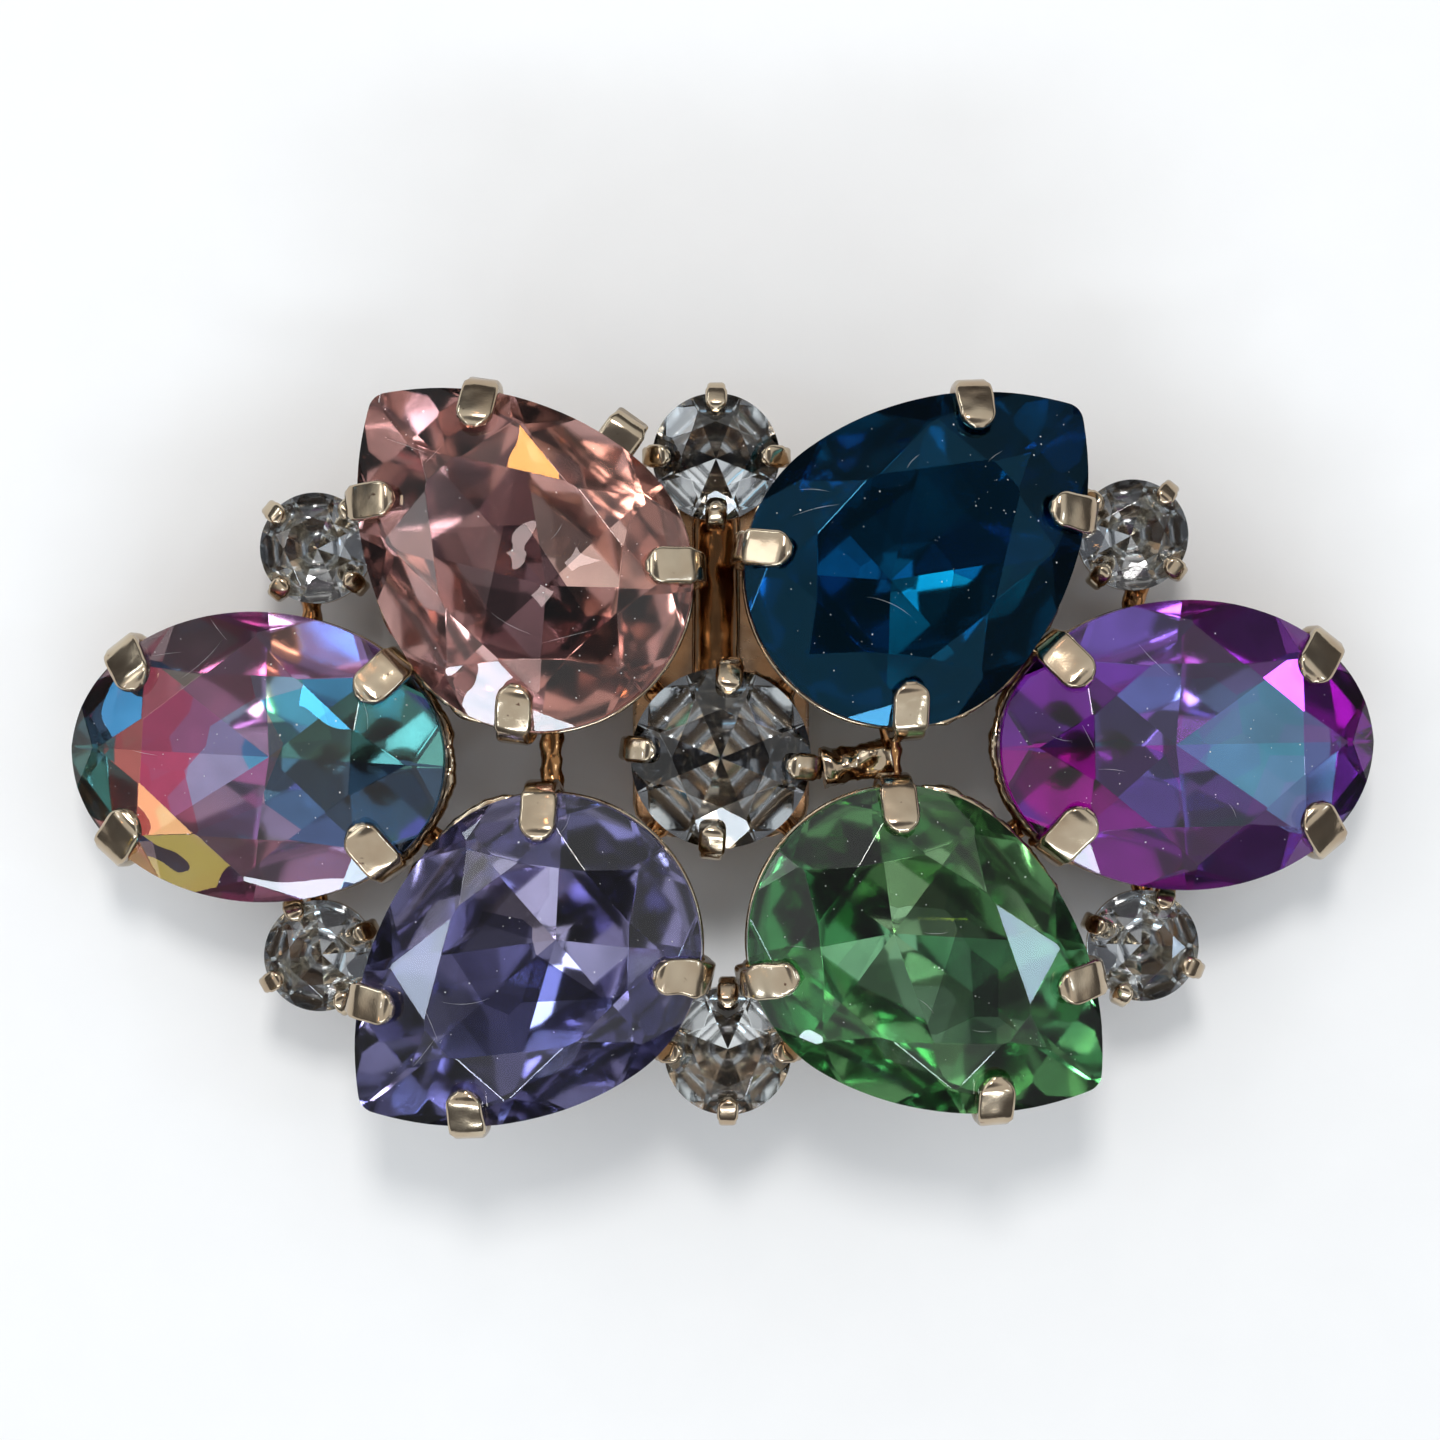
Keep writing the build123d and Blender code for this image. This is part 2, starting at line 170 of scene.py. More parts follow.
def crownFacets(cut):
    # direction, rise inward and height at the girdle of each facet above the girdle
    kiteEnd = facetSlopes["kiteReach"] * cut["table"]
    found = []
    for kind, directions in facetRows(cut).items():
        for a in directions:
            reach = reachOf(cut, a)
            rise = facetSlopes[kind] * cut["crown"] / (reach * (1 - kiteEnd))
            # a star starts where it meets the table's edge
            start = cut["crown"] - rise * reach * (1 - cut["table"]) if kind == "star" else 0.0
            found.append((a, rise, start))
    return found


def backFacets(cut):
    # direction and rise inward of each facet below the girdle
    rows = facetRows(cut)
    mains = [(a, cut["pavilion"] / reachOf(cut, a)) for a in rows["main"]]
    halves = [(a, facetSlopes["lowerHalf"] * cut["pavilion"] / reachOf(cut, a)) for a in rows["half"]]
    return mains + halves


def crownHeight(cut, x, y):
    heights = [cut["crown"]]
    for a, rise, start in crownFacets(cut):
        across, up = aim(a)
        heights.append(start + rise * (reachOf(cut, a) - x * across - y * up))
    return min(heights)


def deepestBack(cut, inset):
    # the most that the back reaches down along a line set in from the outline
    back = [(*aim(a), rise, reachOf(cut, a)) for a, rise in backFacets(cut)]
    deepest = 0.0
    for direction in ringDirections:
        x, y = insetPoint(cut, direction, inset)
        depth = min(rise * (reach - x * across - y * up) for across, up, rise, reach in back)
        deepest = max(deepest, depth)
    return deepest


for cut in (pearCut, ovalCut, centreCut, endCut, cornerCut):
    cut["rimDrop"] = deepestBack(cut, cut["wall"]) + stoneGap  # the cup's rim clears the stone's back


def seatMatrix(seat):
    # a stone's own frame: z=0 on the girdle's lower edge, +X to its point
    x, y = aim(seat["heading"])
    flat, tilt = aim(seat["lean"])
    across = Vector((x * flat, y * flat, -tilt))
    up = Vector((x * tilt, y * tilt, flat))
    side = up.cross(across)
    matrix = Matrix((across, side, up)).transposed().to_4x4()
    matrix.translation = Vector((seat["x"], seat["y"], seat["level"]))
    return matrix


def plug(tree, node, sources):
    # a source is another node's output, a number, a colour or a vector
    for name, source in sources.items():
        socket = node.inputs[name]
        if hasattr(source, "node"):
            tree.links.new(source, socket)
        elif isinstance(source, tuple):
            socket.default_value = (*source, 1.0)[:len(socket.default_value)]
        else:
            socket.default_value = source


def addNode(tree, kind, sources=None, **settings):
    node = tree.nodes.new("ShaderNode" + kind)
    for name, value in settings.items():
        setattr(node, name, value)
    plug(tree, node, sources or {})
    return node


def startMaterial(name):
    material = bpy.data.materials.new(name)
    material.use_nodes = True
    return material, material.node_tree, material.node_tree.nodes["Principled BSDF"]


def partPlace(tree):
    return addNode(tree, "TexCoord").outputs["Object"]


def grainOf(tree, place, scale, detail):
    # soft noise, its scale in cells to a metre
    sources = {"Vector": place, "Scale": scale, "Detail": detail}
    return addNode(tree, "TexNoise", sources).outputs["Fac"]


def mathOf(tree, operation, *sources):
    return addNode(tree, "Math", dict(enumerate(sources)), operation=operation).outputs["Value"]


def rampOf(tree, source, stops):
    # a stop is a place from 0 to 1 with a colour, or with a number for a grey
    ramp = addNode(tree, "ValToRGB", {"Fac": source})
    elements = ramp.color_ramp.elements
    while len(elements) < len(stops):
        elements.new(0.5)
    for element, (at, colour) in zip(elements, stops):
        element.position = at
        if not isinstance(colour, tuple):
            colour = (colour, colour, colour)
        element.color = (*colour, 1.0)
    return ramp.outputs["Color"]


def mixOf(tree, share, first, second, blend="MIX"):
    sources = {"Factor": share, "A": first, "B": second}
    return addNode(tree, "Mix", sources, data_type="RGBA", blend_type=blend).outputs["Result"]


def bumpOf(tree, height, strength, distance, under=None):
    sources = {"Height": height, "Strength": strength, "Distance": distance}
    if under:
        sources["Normal"] = under
    return addNode(tree, "Bump", sources).outputs["Normal"]


# How fine each kind of grain in the plating is, in cells to a metre
platingGrain = {
    "tone": 420, "spots": 2300, "paintedShade": 1500, "gloss": 900, "waves": 700, "scratches": 9000,
    "scratched": 0.12, "waveHeight": 0.0002, "scratchHeight": 0.00002,
}


def platedMetal(name, finish):
    # polished plating: soft hand-worked waves, fine scratches and dark tarnish spots, with painted shade: the
    # metal is browned where it lies deeper between the cups
    material, tree, shader = startMaterial(name)
    place = partPlace(tree)

    def grain(kind, detail):
        return grainOf(tree, place, platingGrain[kind], detail)

    tone = rampOf(tree, grain("tone", 3), [(0.35, finish["shade"]), (0.65, finish["plate"])])
    spots = rampOf(tree, grain("spots", 2), [(0.70, 0.0), (0.76, 1.0)])
    tarnish = mixOf(tree, spots, tone, finish["tarnish"])
    # painted shade: each point's share of brown darkening, made patchy by noise, mixes the plating toward its
    # deep colour
    paintedShade = addNode(tree, "Attribute", attribute_name="paintedShade").outputs["Fac"]
    patchy = mathOf(tree, "MULTIPLY_ADD", grain("paintedShade", 3), 0.5, paintedShade)
    shadeShare = rampOf(tree, patchy, [(0.42, 0.0), (0.95, 1.0)])
    low, high = finish["roughness"]
    waves = bumpOf(tree, grain("waves", 1), finish["waves"], platingGrain["waveHeight"])
    depth = platingGrain["scratchHeight"]
    plug(tree, shader, {
        "Metallic": 1.0,
        "Base Color": mixOf(tree, shadeShare, tarnish, finish["deep"]),
        "Roughness": rampOf(tree, grain("gloss", 4), [(0.3, low), (0.7, high)]),
        "Normal": bumpOf(tree, grain("scratches", 2), platingGrain["scratched"], depth, waves),
    })
    return material


# What the glass of every stone shares, where its own dictionary doesn't say otherwise
glassPolish = {
    "ior": 1.55, "shine": 0.36, "gleam": (1.0, 1.0, 1.0),
    "swellScale": 330, "swellStrength": 0.10, "swellHeight": 0.0002, "foilRoughness": 0.06,
    "cloudScale": 500, "clouds": [(0.3, 0.82), (0.7, 1.0)],
}
# how the table's patches of painted colour lie: how uneven they are, how far they wander and where they start
tableShadePatches = {"unevenness": 0.85, "wander": 0.34, "start": 0.33}


def tableTintAndShadeOf(tree, place, finish):
    # colour that changes in flat patches from one side of the table to the other: the stone's own colour, and
    # its coat's on the ovals, with painted reflections and shade such as the dark band across a pear's table
    patch = addNode(tree, "TexVoronoi", {
        "Vector": place, "Scale": finish["patches"], "Randomness": tableShadePatches["unevenness"],
    }).outputs
    size = finish["cut"]["length"] * finish["cut"]["table"] * mm
    turned = addNode(tree, "Mapping", {
        "Vector": patch["Position"], "Scale": (size, size, size),
        "Location": tuple(finish[axis] * mm for axis in ("x", "y", "level")),
        "Rotation": (0.0, 0.0, radians(finish["sweep"])),
    }, vector_type="TEXTURE").outputs["Vector"]
    across = addNode(tree, "SeparateXYZ", {"Vector": turned}).outputs["X"]
    wander = mathOf(tree, "MULTIPLY_ADD", patch["Color"], tableShadePatches["wander"], across)
    return rampOf(tree, mathOf(tree, "ADD", wander, tableShadePatches["start"]), finish["tableTintAndShade"])


def cutGlass(name, finish):
    # clear glass, or glass whose colour is laid on facet by facet and across its table, over coloured depth,
    # its polish very slightly uneven.
    # The laid-on colour is the stone's own, and its coat's on the ovals, with painted shade and reflections
    material, tree, shader = startMaterial(name)
    place = partPlace(tree)
    if "crownTintAndShade" in finish:
        crownFacetShades = addNode(tree, "VertexColor", layer_name="facetTintAndShade").outputs
        tint = mixOf(tree, crownFacetShades["Alpha"], crownFacetShades["Color"], tableTintAndShadeOf(tree, place, finish))
    else:
        tint = finish["tint"]
    swell = grainOf(tree, place, glassPolish["swellScale"], 0)
    plug(tree, shader, {
        "Base Color": tint, "Transmission Weight": 1.0, "IOR": glassPolish["ior"], "Roughness": 0.0,
        "Specular IOR Level": finish.get("shine", glassPolish["shine"]),
        "Specular Tint": finish.get("gleam", glassPolish["gleam"]),
        "Normal": bumpOf(tree, swell, glassPolish["swellStrength"], glassPolish["swellHeight"]),
    })
    soak = addNode(tree, "VolumeAbsorption", {"Color": finish["soak"], "Density": finish["depth"]})
    plug(tree, tree.nodes["Material Output"], {"Volume": soak.outputs["Volume"]})
    return material


def foilBack(name):
    # the mirror lacquer on a stone's back, tinted facet by facet with the stone's colour and with painted
    # shade and reflections
    material, tree, shader = startMaterial(name)
    tint = addNode(tree, "VertexColor", layer_name="facetTintAndShade").outputs["Color"]
    cloud = grainOf(tree, partPlace(tree), glassPolish["cloudScale"], 1)
    cloud = rampOf(tree, cloud, glassPolish["clouds"])
    plug(tree, shader, {
        "Base Color": mixOf(tree, 1.0, tint, cloud, "MULTIPLY"),
        "Metallic": 1.0, "Roughness": glassPolish["foilRoughness"],
    })
    return material


def linkMesh(name, bm, materials):
    mesh = bpy.data.meshes.new(name)
    bm.to_mesh(mesh)
    bm.free()
    for material in materials:
        mesh.materials.append(material)
    thing = bpy.data.objects.new(name, mesh)
    bpy.context.scene.collection.objects.link(thing)
    return thing


def makePiece(name, bm, materials, nodes):
    bmesh.ops.scale(bm, vec=(mm, mm, mm), verts=bm.verts)
    piece = linkMesh(name, bm, materials)
    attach(piece, "root")
    if nodes:
        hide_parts(*nodes)


def startMetal():
    # metal points carry a painted shade share: 0 on the outside, 1 deep between the cups
    bm = bmesh.new()
    bm.verts.layers.float.new("paintedShade")
    return bm


def addPoint(bm, place, paintedShade):
    vert = bm.verts.new(place)
    vert[bm.verts.layers.float["paintedShade"]] = min(max(paintedShade, 0.0), 1.0)
    return vert


def makeMetalPiece(name, bm, finish, node):
    bmesh.ops.recalc_face_normals(bm, faces=bm.faces)
    makePiece(name, bm, [finish], [node])


def makeFramePiece(name, bm):
    makeMetalPiece(name, bm, roseGold, "claw_frame")


# Every facet has a number: 0 for the table, 1 and up above the girdle, backStart and up below it
backStart = 100
girdleFacet = -1
polishFacet = 90  # the narrow roundings between the facets above the girdle
polish = {"depth": 0.002, "weld": 0.004, "shortest": 0.15, "merge": 0.0015}
onPlane = 1e-9  # how near to a plane a point counts as on it
farOut = 40  # beyond the edge of any stone


def unit(vector):
    size = sqrt(sum(v * v for v in vector))
    return tuple(v / size for v in vector)


def dot(first, second):
    return sum(p * q for p, q in zip(first, second))


def clipPolygon(points, normal, offset):
    # keeps what lies behind a plane
    kept = []
    sides = [p[0] * normal[0] + p[1] * normal[1] + p[2] * normal[2] - offset for p in points]
    for i, near in enumerate(sides):
        j = (i + 1) % len(points)
        far = sides[j]
        if near <= onPlane:
            kept.append(points[i])
        if (near < -onPlane and far > onPlane) or (near > onPlane and far < -onPlane):
            t = near / (near - far)
            kept.append(tuple(p + (q - p) * t for p, q in zip(points[i], points[j])))
    return kept


def planeOf(normal, point, number):
    normal = unit(normal)
    return normal, dot(normal, point), number


def cutPolygons(planes):
    # the face that each plane leaves on the convex stone that all of them bound
    square = ((-farOut, -farOut), (farOut, -farOut), (farOut, farOut), (-farOut, farOut))
    faces = []
    for i, (normal, offset, number) in enumerate(planes):
        n = Vector(normal)
        u = n.orthogonal().normalized()
        v = n.cross(u)
        middle = n * offset
        corners = [tuple(middle + u * p + v * q) for p, q in square]
        for j, (otherNormal, otherOffset, otherNumber) in enumerate(planes):
            if j != i:
                corners = clipPolygon(corners, otherNormal, otherOffset)
                if len(corners) < 3:
                    break
        if len(corners) > 2:
            faces.append((i, corners))
    return faces


def stonePlanes(cut):
    planes = [planeOf((0, 0, 1), (0, 0, cut["girdle"] + cut["crown"]), 0)]
    for number, (a, rise, start) in enumerate(crownFacets(cut), 1):
        x, y = aim(a)
        reach = reachOf(cut, a)
        planes.append(planeOf((rise * x, rise * y, 1), (reach * x, reach * y, cut["girdle"] + start), number))
    for number, (a, rise) in enumerate(backFacets(cut), backStart):
        x, y = aim(a)
        reach = reachOf(cut, a)
        planes.append(planeOf((rise * x, rise * y, -1), (reach * x, reach * y, 0), number))
    return planes


def polishPlanes(planes):
    # a narrow rounding along every edge between two facets above the girdle
    corners = {}
    for i, points in cutPolygons(planes):
        if planes[i][2] < backStart:
            for p in points:
                corners.setdefault(tuple(round(c / polish["weld"]) for c in p), []).append((i, p))
    shared = {}
    for group in corners.values():
        indices = sorted({i for i, p in group})
        for m, first in enumerate(indices):
            for second in indices[m + 1:]:
                shared.setdefault((first, second), []).append(group[0][1])
    extra = []
    for (first, second), ends in sorted(shared.items()):
        length = max(hypot(p[0] - ends[0][0], p[1] - ends[0][1]) for p in ends)
        if len(ends) > 1 and length >= polish["shortest"]:
            normal = unit([p + q for p, q in zip(planes[first][0], planes[second][0])])
            offset = max(dot(normal, p) for p in ends) - polish["depth"]
            extra.append((normal, offset, polishFacet))
    return extra


def cutFaces(cut):
    # the faces of a cut, worked out once for all the stones that share it
    if "faces" not in cut:
        planes = stonePlanes(cut)
        planes += polishPlanes(planes)
        for a in ringDirections:
            planes.append(planeOf((*aim(a), 0), (*outlineAt(cut, a), 0), girdleFacet))
        cut["faces"] = [(planes[i][2], points) for i, points in cutPolygons(planes)]
    return cut["faces"]


def seatStone(stone):
    # the stone's place: its own box is laid on the box of its CAD node
    stone.update(x=0.0, y=0.0, level=0.0)
    matrix = seatMatrix(stone)
    corners = [matrix @ Vector(p) for number, points in cutFaces(stone["cut"]) for p in points]
    low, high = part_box(stone["node"])
    for axis, name in enumerate(("x", "y", "level")):
        own = [p[axis] for p in corners]
        stone[name] = ((low[axis] + high[axis]) / mm - min(own) - max(own)) / 2
    stone["cut"].setdefault("cupDepth", stone["level"] - stand - stone["cut"]["rimDrop"])


crownShades = (1.0, 0.82, 0.93)  # painted shade: alternate facets above the girdle are darkened by these shares
lowerHalfShade = 0.84  # painted shade: the small back facets are darkened a little against the main ones


def tintAt(tints, direction, shade):
    # the tint listed nearest to a direction seen from above
    nearest = min(tints, key=lambda listed: abs((listed - direction + 180) % 360 - 180))
    return tuple(c * shade for c in tints[nearest])


def makeStone(stone):
    # cut facet by facet as on the wheel
    bm = bmesh.new()
    facetLayer = bm.faces.layers.int.new("facet")
    tintLayer = bm.loops.layers.float_color.new("facetTintAndShade")
    for number, points in cutFaces(stone["cut"]):
        face = bm.faces.new([bm.verts.new(p) for p in points])
        face[facetLayer] = number
        face.smooth = number == girdleFacet
    bmesh.ops.remove_doubles(bm, verts=bm.verts, dist=polish["merge"])
    back = backFacets(stone["cut"])
    for face in bm.faces:
        number = face[facetLayer]
        if number >= backStart:
            face.material_index = 1
            index = number - backStart
            shade = lowerHalfShade if index >= len(stone["cut"]["mains"]) else 1.0
            # painted shade: each back facet takes the colour listed nearest its direction, darker or lighter
            # as the room would be mirrored there
            colour = (*tintAt(stone["foilAndShade"], back[index][0] + stone["heading"], shade), 1.0)
        elif number == 0:
            colour = (1.0, 1.0, 1.0, 1.0)
        else:
            # no alpha: the facet shows its own tint and painted shade in place of the table's colours
            middle = face.calc_center_median()
            direction = degrees(atan2(middle.y, middle.x)) + stone["heading"]
            shade = crownShades[number % len(crownShades)]
            colour = (*tintAt(stone.get("crownTintAndShade", stone["foilAndShade"]), direction, shade), 0.0)
        for loop in face.loops:
            loop[tintLayer] = colour
    bm.transform(seatMatrix(stone))
    glass = cutGlass(stone["piece"] + "Glass", stone)
    foilAndShade = foilBack(stone["piece"] + "FoilAndShade")
    makePiece(stone["piece"], bm, [glass, foilAndShade], [stone["node"]])


def loftRows(bm, rows):
    # smooth faces between neighbouring rings of vertices
    for near, far in zip(rows, rows[1:]):
        for i in range(len(near)):
            j = (i + 1) % len(near)
            bm.faces.new((near[i], near[j], far[j], far[i])).smooth = True


def loftBar(bm, rows):
    # the same, with both ends closed
    loftRows(bm, rows)
    bm.faces.new(rows[0][::-1])
    bm.faces.new(rows[-1])


# The cup's wall: its rim's shape, and the painted shade that darkens it below the rim, up to a most
cupRim = {"lip": 0.3, "wave": 0.07, "waveScale": 0.7, "paintedShade": 0.18, "deepest": 0.42}


def makeCupWall(bm, cut, matrix, seed):
    # a tapered band with a rounded, slightly wavy rim
    rim = -cut["rimDrop"]
    wall = cut["wall"]
    flare = cut["cupFlare"]
    lip = wall * cupRim["lip"]
    soft = lip * cupRim["lip"]
    drop = cut["cupDepth"] - lip
    steps = 6
    profile = []
    for i in range(steps + 1):
        share = 1 - i / steps
        profile.append((-flare * share, rim - lip - drop * share))
    profile += [(-soft, rim - soft), (-lip, rim), (-wall + lip, rim), (-wall + soft, rim - soft)]
    for i in range(steps + 1):
        share = i / steps
        profile.append((-flare * share - wall, rim - lip - drop * share))
    rows = []
    for direction in ringDirections:
        row = []
        for grow, z in profile:
            x, y = outlineAt(cut, direction, grow)
            spot = Vector((x * cupRim["waveScale"], y * cupRim["waveScale"], seed))
            wave = noise.noise(spot) * cupRim["wave"]
            place = Vector((x, y, z - abs(wave) * (z > rim - wall)))
            # painted shade, darker further below the rim
            paintedShade = min(cupRim["deepest"], cupRim["paintedShade"] - (z - rim) / 2)
            row.append(addPoint(bm, matrix @ place, paintedShade))
        rows.append(row)
    loftRows(bm, rows + [rows[0]])


def roundedPath(points, radii):
    # straight runs with their corners eased by short curves
    steps = 6
    mostOfRun = 0.48
    path = [Vector(points[0])]
    for i, radius in enumerate(radii, 1):
        corner = Vector(points[i])
        back = Vector(points[i - 1]) - corner
        ahead = Vector(points[i + 1]) - corner
        near = corner + back.normalized() * min(radius, back.length * mostOfRun)
        far = corner + ahead.normalized() * min(radius, ahead.length * mostOfRun)
        for k in range(steps + 1):
            t = k / steps
            path.append(near * (1 - t) ** 2 + corner * 2 * t * (1 - t) + far * t * t)
    path.append(Vector(points[-1]))
    return path


def spread(path, step):
    # the same path with points no further apart than the step
    out = [path[0]]
    for near, far in zip(path, path[1:]):
        count = max(1, int((far - near).length / step + 0.5))
        for k in range(1, count + 1):
            out.append(near.lerp(far, k / count))
    return out


def barSection(half, metal, edge):
    # a flat bar's section with rounded upper corners: across and up
    foot = min(edge * 0.5, metal * 0.3)
    bevel = min(edge, metal * 0.6)
    right = [(half - foot, 0.0), (half, foot)]
    for k in range(4):
        a = radians(90 * k / 3)
        right.append((half - bevel + bevel * cos(a), metal - bevel + bevel * sin(a)))
    return right + [(-v, h) for v, h in reversed(right)]


# Lumps along a bar, at their full size from a little above its foot
barLumps = {"scale": 0.9, "full": 0.2, "aside": (1.0, 0.7, 1.3)}


def sweepBar(bm, path, halves, metals, edge, matrix, paintedShade, lump=0.0, seed=0.0):
    # a bar swept along a path in the x-z plane, lying on the path's left side
    rows = []
    for i, at in enumerate(path):
        before = path[max(i - 1, 0)]
        after = path[min(i + 1, len(path) - 1)]
        along = (after - before).normalized()
        up = Vector((-along.y, along.x))
        row = []
        for v, h in barSection(halves[i], metals[i], edge):
            p = Vector((at.x + up.x * h, v, at.y + up.y * h))
            if lump:
                shift = Vector([seed * share for share in barLumps["aside"]])
                shake = noise.noise_vector(p * barLumps["scale"] + shift)
                p += Vector((shake.x, shake.y, shake.z)) * lump * min(1.0, h / barLumps["full"])
            row.append(addPoint(bm, matrix @ p, paintedShade(p.z)))
        rows.append(row)
    loftBar(bm, rows)


clawShape = {
    "tip": 0.95, "neck": 0.86, "square": 2.1, "thinTip": 0.42, "narrowTip": 0.28,
    "edge": 0.17, "lump": 0.05, "bends": [0.3, 0.2, 0.42], "step": 0.12, "pad": 1.1, "thinSquare": 4,
    "rootIn": 0.1, "rimOut": 0.02, "tries": (12, 3), "paintedShade": -0.15, "seedSteps": (3.1, 7.7),
}


def makeClaw(bm, cut, direction, matrix, lump, seed):
    # a claw climbs the cup's wall, turns over the girdle and ends in a flat pad on the crown
    px, py = outlineAt(cut, direction)
    out = aim(direction)
    half = cut["clawWidth"] / 2
    far = cut["clawReach"]
    leg = cut["clawLeg"]
    rim = cut["rimDrop"]
    lean = cut["cupFlare"] / cut["cupDepth"]

    def height(inward, aside):
        return crownHeight(cut, px - inward * out[0] - aside * out[1], py - inward * out[1] + aside * out[0])

    slope = height(far, 0) / far
    deep, wide = clawShape["tries"]
    tries = [(far * i / deep, half * j / wide) for i in range(deep + 1) for j in range(-wide, wide + 1)]
    under = cut["girdle"] + stoneGap + max(height(u, v) - slope * u for u, v in tries)
    points = [
        (-lean * leg - clawShape["rootIn"], -rim - leg), (clawShape["rimOut"], -rim),
        (stoneGap, 0.0), (stoneGap, under), (-far, under + slope * far),
    ]
    path = spread(roundedPath(points, clawShape["bends"]), clawShape["step"])
    path[-1:] = [path[-2].lerp(path[-1], k / 3) for k in range(1, 4)]
    lengths = [0.0]
    for near, ahead in zip(path, path[1:]):
        lengths.append(lengths[-1] + (ahead - near).length)
    halves = []
    metals = []
    tip = half * clawShape["tip"]
    for s in lengths:
        toTip = lengths[-1] - s
        width = half * (1.0 if toTip < far * clawShape["pad"] else clawShape["neck"])
        thick = cut["clawMetal"]
        if toTip < tip:
            q = 1 - toTip / tip
            width *= max(clawShape["narrowTip"], (1 - q ** clawShape["square"]) ** 0.5)
            thick *= max(clawShape["thinTip"], (1 - q ** clawShape["thinSquare"]) ** 0.5)
        halves.append(width)
        metals.append(thick)
    # the path runs up and then inward, so its outer side is on the right: mirrored here
    flipped = [Vector((-p.x, p.y)) for p in path]
    turned = Matrix.Rotation(radians(direction + 180), 4, "Z")
    place = matrix @ Matrix.Translation((px, py, 0)) @ turned

    # painted shade: the claw darkens more the further down the cup's wall it runs
    def paintedShade(z):
        return clawShape["paintedShade"] - z / (rim + leg)

    sweepBar(bm, flipped, halves, metals, clawShape["edge"], place, paintedShade, lump, seed)


def makeCup(seat):
    cut = seat["cut"]
    matrix = seatMatrix(seat)
    lumps = seat.get("clawLumps", {})
    seatStep, clawStep = clawShape["seedSteps"]
    bm = startMetal()
    makeCupWall(bm, cut, matrix, seat["x"])
    for number, direction in enumerate(cut["claws"]):
        lump = lumps.get(direction, clawShape["lump"])
        makeClaw(bm, cut, direction, matrix, lump, seat["x"] * seatStep + number * clawStep)
    makeFramePiece(seat["piece"] + "Cup", bm)


# The "deep" colour is painted shade: the brown that the plating is darkened to where it lies low between the
# cups
roseGoldFinish = {
    "plate": (0.53, 0.44, 0.32), "shade": (0.42, 0.32, 0.22), "tarnish": (0.16, 0.09, 0.06),
    "deep": (0.34, 0.17, 0.07), "roughness": (0.08, 0.20), "waves": 0.40,
}
roseGold = platedMetal("roseGoldPlating", roseGoldFinish)
print("finishes ready")


# Each stone lists a colour for each side of its back and of its front, by the side's direction in degrees
# seen from above: the stone's own colour, and its coat's on the ovals, with painted shade and reflections
# that darken or lighten some sides. The table's colours run across it toward "sweep", in "patches" to a
# metre, with painted reflections and shade too. "soak" is the colour that deep glass takes and "depth"
# how fast, and "clawLumps" are the lumpier claws.
pearSeat = {"cut": pearCut, "lean": 9.0, "patches": 290}
ovalSeat = {"cut": ovalCut, "lean": 13.0, "patches": 300}
roseStone = {
    "piece": "roseStone", "node": "rose_pear_stone", "slot": "rose_glass",
    "heading": 132.4, **pearSeat, "soak": (0.88, 0.6, 0.52), "depth": 30, "sweep": 15.0,
    "crownTintAndShade": {
        132: (0.86, 0.66, 0.66), 95: (0.96, 0.74, 0.66), 40: (1.0, 0.84, 0.78), -20: (1.0, 0.78, 0.7),
        -60: (1.0, 0.76, 0.68), -100: (0.94, 0.76, 0.72), -140: (0.78, 0.66, 0.68), 170: (0.8, 0.64, 0.64),
    },
    "tableTintAndShade": [
        (0.12, (0.4, 0.28, 0.31)), (0.3, (0.96, 0.78, 0.84)), (0.36, (0.06, 0.03, 0.04)),
        (0.5, (0.02, 0.01, 0.015)), (0.55, (1.0, 0.78, 0.7)), (0.9, (1.0, 0.86, 0.76)),
    ],
    "foilAndShade": {
        132: (0.46, 0.38, 0.4), 95: (0.8, 0.64, 0.62), 60: (1.0, 0.88, 0.83), 20: (1.0, 0.86, 0.78),
        -25: (1.0, 0.86, 0.78), -70: (1.0, 0.82, 0.75), -120: (0.94, 0.82, 0.84), 170: (0.66, 0.57, 0.62),
    },
}
tealStone = {
    "piece": "tealStone", "node": "teal_pear_stone", "slot": "teal_glass",
    "heading": 42.3, **pearSeat, "soak": (0.01, 0.36, 0.54), "depth": 130, "sweep": 20.0,
    "crownTintAndShade": {
        42: (0.01, 0.3, 0.48), 0: (0.01, 0.26, 0.44), -50: (0.02, 0.32, 0.54), -110: (0.02, 0.36, 0.58),
        -160: (0.02, 0.3, 0.52), 150: (0.02, 0.34, 0.54), 95: (0.02, 0.4, 0.54),
    },
    "tableTintAndShade": [
        (0.1, (0.02, 0.3, 0.52)), (0.32, (0.03, 0.5, 0.76)), (0.46, (0.02, 0.44, 0.62)),
        (0.54, (0.0, 0.02, 0.07)), (0.74, (0.03, 0.44, 0.5)), (0.9, (0.0, 0.03, 0.1)),
    ],
    "shine": 0.15, "gleam": (0.12, 0.58, 1.0),
    "foilAndShade": {
        42: (0.1, 0.16, 0.26), 90: (0.12, 0.4, 0.48), 130: (0.12, 0.5, 0.6), 175: (0.15, 0.55, 0.8),
        -130: (0.12, 0.45, 0.7), -80: (0.1, 0.5, 0.55), -30: (0.12, 0.45, 0.45), 5: (0.08, 0.28, 0.4),
    },
}
